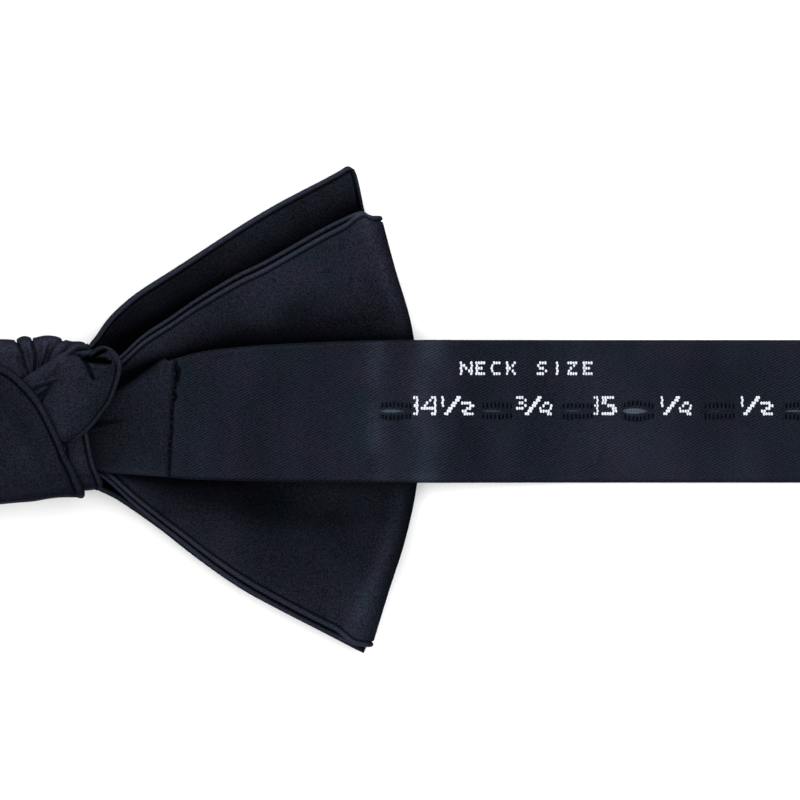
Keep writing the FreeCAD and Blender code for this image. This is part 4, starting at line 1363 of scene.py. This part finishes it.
def tube(path, wide, high, closed, flat, sides=24):
    """Points and faces of a rod along a path in a level plane: a superellipse section, wide across and high up. An
    open rod's ends are drawn in along a quarter circle."""
    if closed:
        ahead = np.roll(path, -1, axis=0) - np.roll(path, 1, axis=0)
        size = np.ones(len(path))
    else:
        ahead = np.gradient(path, axis=0)
        run = lengths_along(path, 0)
        size = quarter_round(np.minimum(run, run[-1] - run), wide / 2, 0.0004)
    ahead /= np.linalg.norm(ahead, axis=1, keepdims=True)
    side = np.column_stack([-ahead[:, 1], ahead[:, 0], np.zeros(len(path))])
    turn = np.linspace(0, 2 * np.pi, sides, endpoint=False)
    c, s = np.cos(turn), np.sin(turn)
    a, b = np.sign(c) * np.abs(c) ** (2 / flat), np.sign(s) * np.abs(s) ** (2 / flat)
    grid = path[:, None] + side[:, None] * (a * wide / 2)[None, :, None] * size[:, None, None]
    grid[..., 2] += (b * high / 2)[None, :] * size[:, None]
    index = ring_numbers(len(path), sides)
    ends = [] if closed else [index[0][:-1].tolist(), index[-1][:-1][::-1].tolist()]
    if closed:
        index = np.concatenate([index, index[:1]], axis=0)
    return grid.reshape(-1, 3), quads_of(index)[:, ::-1].tolist() + ends


def hook_frame(outer_x):
    """Centre line of the hook's closed frame: four quarter circles at the corners, joined straight, and raised
    towards the bar that the tab holds."""
    half, corner = 8.7, 1.6
    turn = np.linspace(0, np.pi / 2, 9)
    corners = [(BAR_X - corner, half - corner), (outer_x + corner, half - corner),
               (outer_x + corner, corner - half), (BAR_X - corner, corner - half)]
    parts = []
    for quarter, (x, y) in enumerate(corners):
        angle = turn + quarter * np.pi / 2
        parts.append(np.column_stack([x + corner * np.cos(angle), LEFT_SHIFT + y + corner * np.sin(angle),
                                      0 * angle]))
    path = np.concatenate(parts)
    path = evenly(np.vstack([path, path[:1]]), 161)[:-1]
    path[:, 2] = ROD_Z + (BAR_Z - ROD_Z) * step(path[:, 0], outer_x + 2.2, BAR_X - 0.3)
    return path


def t_hook():
    """The hook: a closed frame of flat rod whose inner side is the bar, a tongue, and a T across its end."""
    outer_x = BAR_X - 5.4
    level = np.full(40, ROD_Z)
    tongue = np.column_stack([np.linspace(outer_x - 0.2, outer_x - 6.0, 40), np.full(40, LEFT_SHIFT), level])
    across = np.linspace(LEFT_SHIFT - 2.05, LEFT_SHIFT + 2.05, 40)
    bar = np.column_stack([np.full(40, outer_x - 5.8), across, level])
    rods = [tube(hook_frame(outer_x), 1.5, 1.15, True, 2.4), tube(tongue, 1.9, 1.1, False, 3.0),
            tube(bar, 1.5, 1.15, False, 2.6)]
    points, faces, base = [], [], 0
    for grid, cells in rods:
        faces += [tuple(corner + base for corner in cell) for cell in cells]
        points.append(grid)
        base += len(grid)
    return mesh_of_faces("t_hook_metal", np.concatenate(points), faces)


def hook_tab():
    """The tab: a ribbon that lies on the band, passes under the hook's bar, goes round it and comes back on top."""
    line = smooth_line([(-224.0, 1.62), (-230, 1.62), (-236.4, 1.55), (-237.9, 0.62), (-239.2, 0.32),
                        (-240.35, 1.45), (-239.2, 2.62), (-237.8, 2.42), (-236.2, 2.12), (-230, 2.12),
                        (-224.3, 2.1)], 400)

    def place(u, v):
        """Along the line on u, and straight across the tab on v."""
        u, v = np.broadcast_arrays(u, v)
        x, z = np.moveaxis(on_line(line, u), -1, 0)
        return np.stack([x, LEFT_SHIFT + TAB_WIDTH * (v - 0.5), z], axis=-1)

    return cloth("hook_tab_silk", place, (110, 40), half=0.21, roll=0.25, bead=0.1, groove=0.15)


class BOWTIE_OT_hook(bpy.types.Operator):
    """Make the metal T-hook, the silk tab that holds it and the tab's stitches"""
    bl_idname = "bowtie.hook"
    bl_label = "Hook and tab"

    def execute(self, context):
        dressed(t_hook(), metal_material(), ["t_hook"], "hook")
        tab = dressed(hook_tab(), silk_material(), ["hook_tab"], "left_band")
        rng = np.random.default_rng(13)
        y = np.arange(-9.4, 2.7, 1.5)
        x = np.repeat([-226.0, -233.2], len(y))
        places = np.column_stack([-x, np.tile(y, 2), np.full(len(x), 2.36)])
        pads = small_pads("tab_threads", places, 1.15, 0.28, 0.14, rng.uniform(-4, 4, len(x)))
        turned_over(pads)
        dressed(pads, dark_thread(), ["tab_stitches"], "left_band")
        return {"FINISHED"}


# ---------------------------------------------------------------- stage

LIT_POINT = Vector((0.05, 0, 0))


def softbox(name, place, width, height, watts):
    """A large soft light at a place, facing the bow."""
    data = bpy.data.lights.new(name, "AREA")
    data.shape, data.size, data.size_y, data.energy = "RECTANGLE", width, height, watts
    light = linked(name, data)
    light.location = place
    light.visible_camera = False
    light.rotation_euler = (LIT_POINT - Vector(place)).to_track_quat("-Z", "Y").to_euler()


class BOWTIE_OT_stage(bpy.types.Operator):
    """Make the camera, the pale floor and the soft studio lights"""
    bl_idname = "bowtie.stage"
    bl_label = "Camera, floor and lights"

    def execute(self, context):
        scene = context.scene
        light = scene.bow_tie_light
        data = bpy.data.cameras.new("camera")
        camera = linked("camera", data)
        middle, seen = (0.056, 0.00154), 0.112
        camera.location = (*middle, light.height)
        data.sensor_width = 36
        data.lens = 36 * (light.height - 0.004) / seen
        data.clip_start, data.clip_end = 0.01, 20
        scene.camera = camera
        mesh = bpy.data.meshes.new("floor")
        mesh.from_pydata([(-8, -8, 0), (8, -8, 0), (8, 8, 0), (-8, 8, 0)], [], [(0, 1, 2, 3)])
        floor = linked("floor", mesh)
        mesh.materials.append(material_base("floor_paper", tuple(colours().floor), 0.9)[0])
        floor.location = (0, 0, -0.0002)
        softbox("overhead_softbox", (0.05, 0.05, 1.3), 1.3, 1.0, light.over)
        softbox("chin_side_softbox", (0.05, 1.1, 0.55), 1.8, 0.4, light.chin)
        softbox("chest_side_softbox", (0.05, -1.1, 0.55), 1.8, 0.4, light.chest)
        softbox("outer_side_softbox", (1.1, 0, 0.9), 0.6, 0.6, light.outer)
        world = bpy.data.worlds.new("room")
        world.use_nodes = True
        background = world.node_tree.nodes["Background"]
        background.inputs["Color"].default_value = (1, 1, 1, 1)
        background.inputs["Strength"].default_value = light.sky
        scene.world = world
        scene.view_settings.view_transform = "Standard"
        return {"FINISHED"}


# ---------------------------------------------------------------- panel and main

class BOWTIE_PT_panel(bpy.types.Panel):
    """Lists the bow tie's operators and settings"""
    bl_idname = "BOWTIE_PT_panel"
    bl_label = "Bow tie"
    bl_space_type = "VIEW_3D"
    bl_region_type = "UI"
    bl_category = "Bow tie"

    def draw(self, context):
        for operator in OPERATORS:
            self.layout.operator(operator.bl_idname)
        for name, kind in GROUPS.items():
            box = self.layout.box()
            for setting in kind.__annotations__:
                box.prop(getattr(context.scene, name), setting)


OPERATORS = (BOWTIE_OT_stage, BOWTIE_OT_wings, BOWTIE_OT_knot, BOWTIE_OT_bands, BOWTIE_OT_size_tape,
             BOWTIE_OT_buttonholes, BOWTIE_OT_figures, BOWTIE_OT_hook)
GROUPS = {"bow_tie_sizes": BowTieSizes, "bow_tie_colours": BowTieColours, "bow_tie_light": BowTieLight}
CLASSES = (*GROUPS.values(), *OPERATORS, BOWTIE_PT_panel)


def register():
    """Registers the classes, and puts the settings on the scene."""
    for item in CLASSES:
        bpy.utils.register_class(item)
    for name, kind in GROUPS.items():
        setattr(bpy.types.Scene, name, PointerProperty(type=kind))


def unregister():
    """Takes the settings and the classes away again."""
    for name in GROUPS:
        delattr(bpy.types.Scene, name)
    for item in reversed(CLASSES):
        bpy.utils.unregister_class(item)


def main():
    """Makes everything in order."""
    register()
    bpy.ops.bowtie.stage()
    bpy.ops.bowtie.wings()
    bpy.ops.bowtie.knot()
    bpy.ops.bowtie.bands()
    bpy.ops.bowtie.size_tape()
    bpy.ops.bowtie.buttonholes()
    bpy.ops.bowtie.figures()
    bpy.ops.bowtie.hook()


if __name__ == "__main__":
    main()
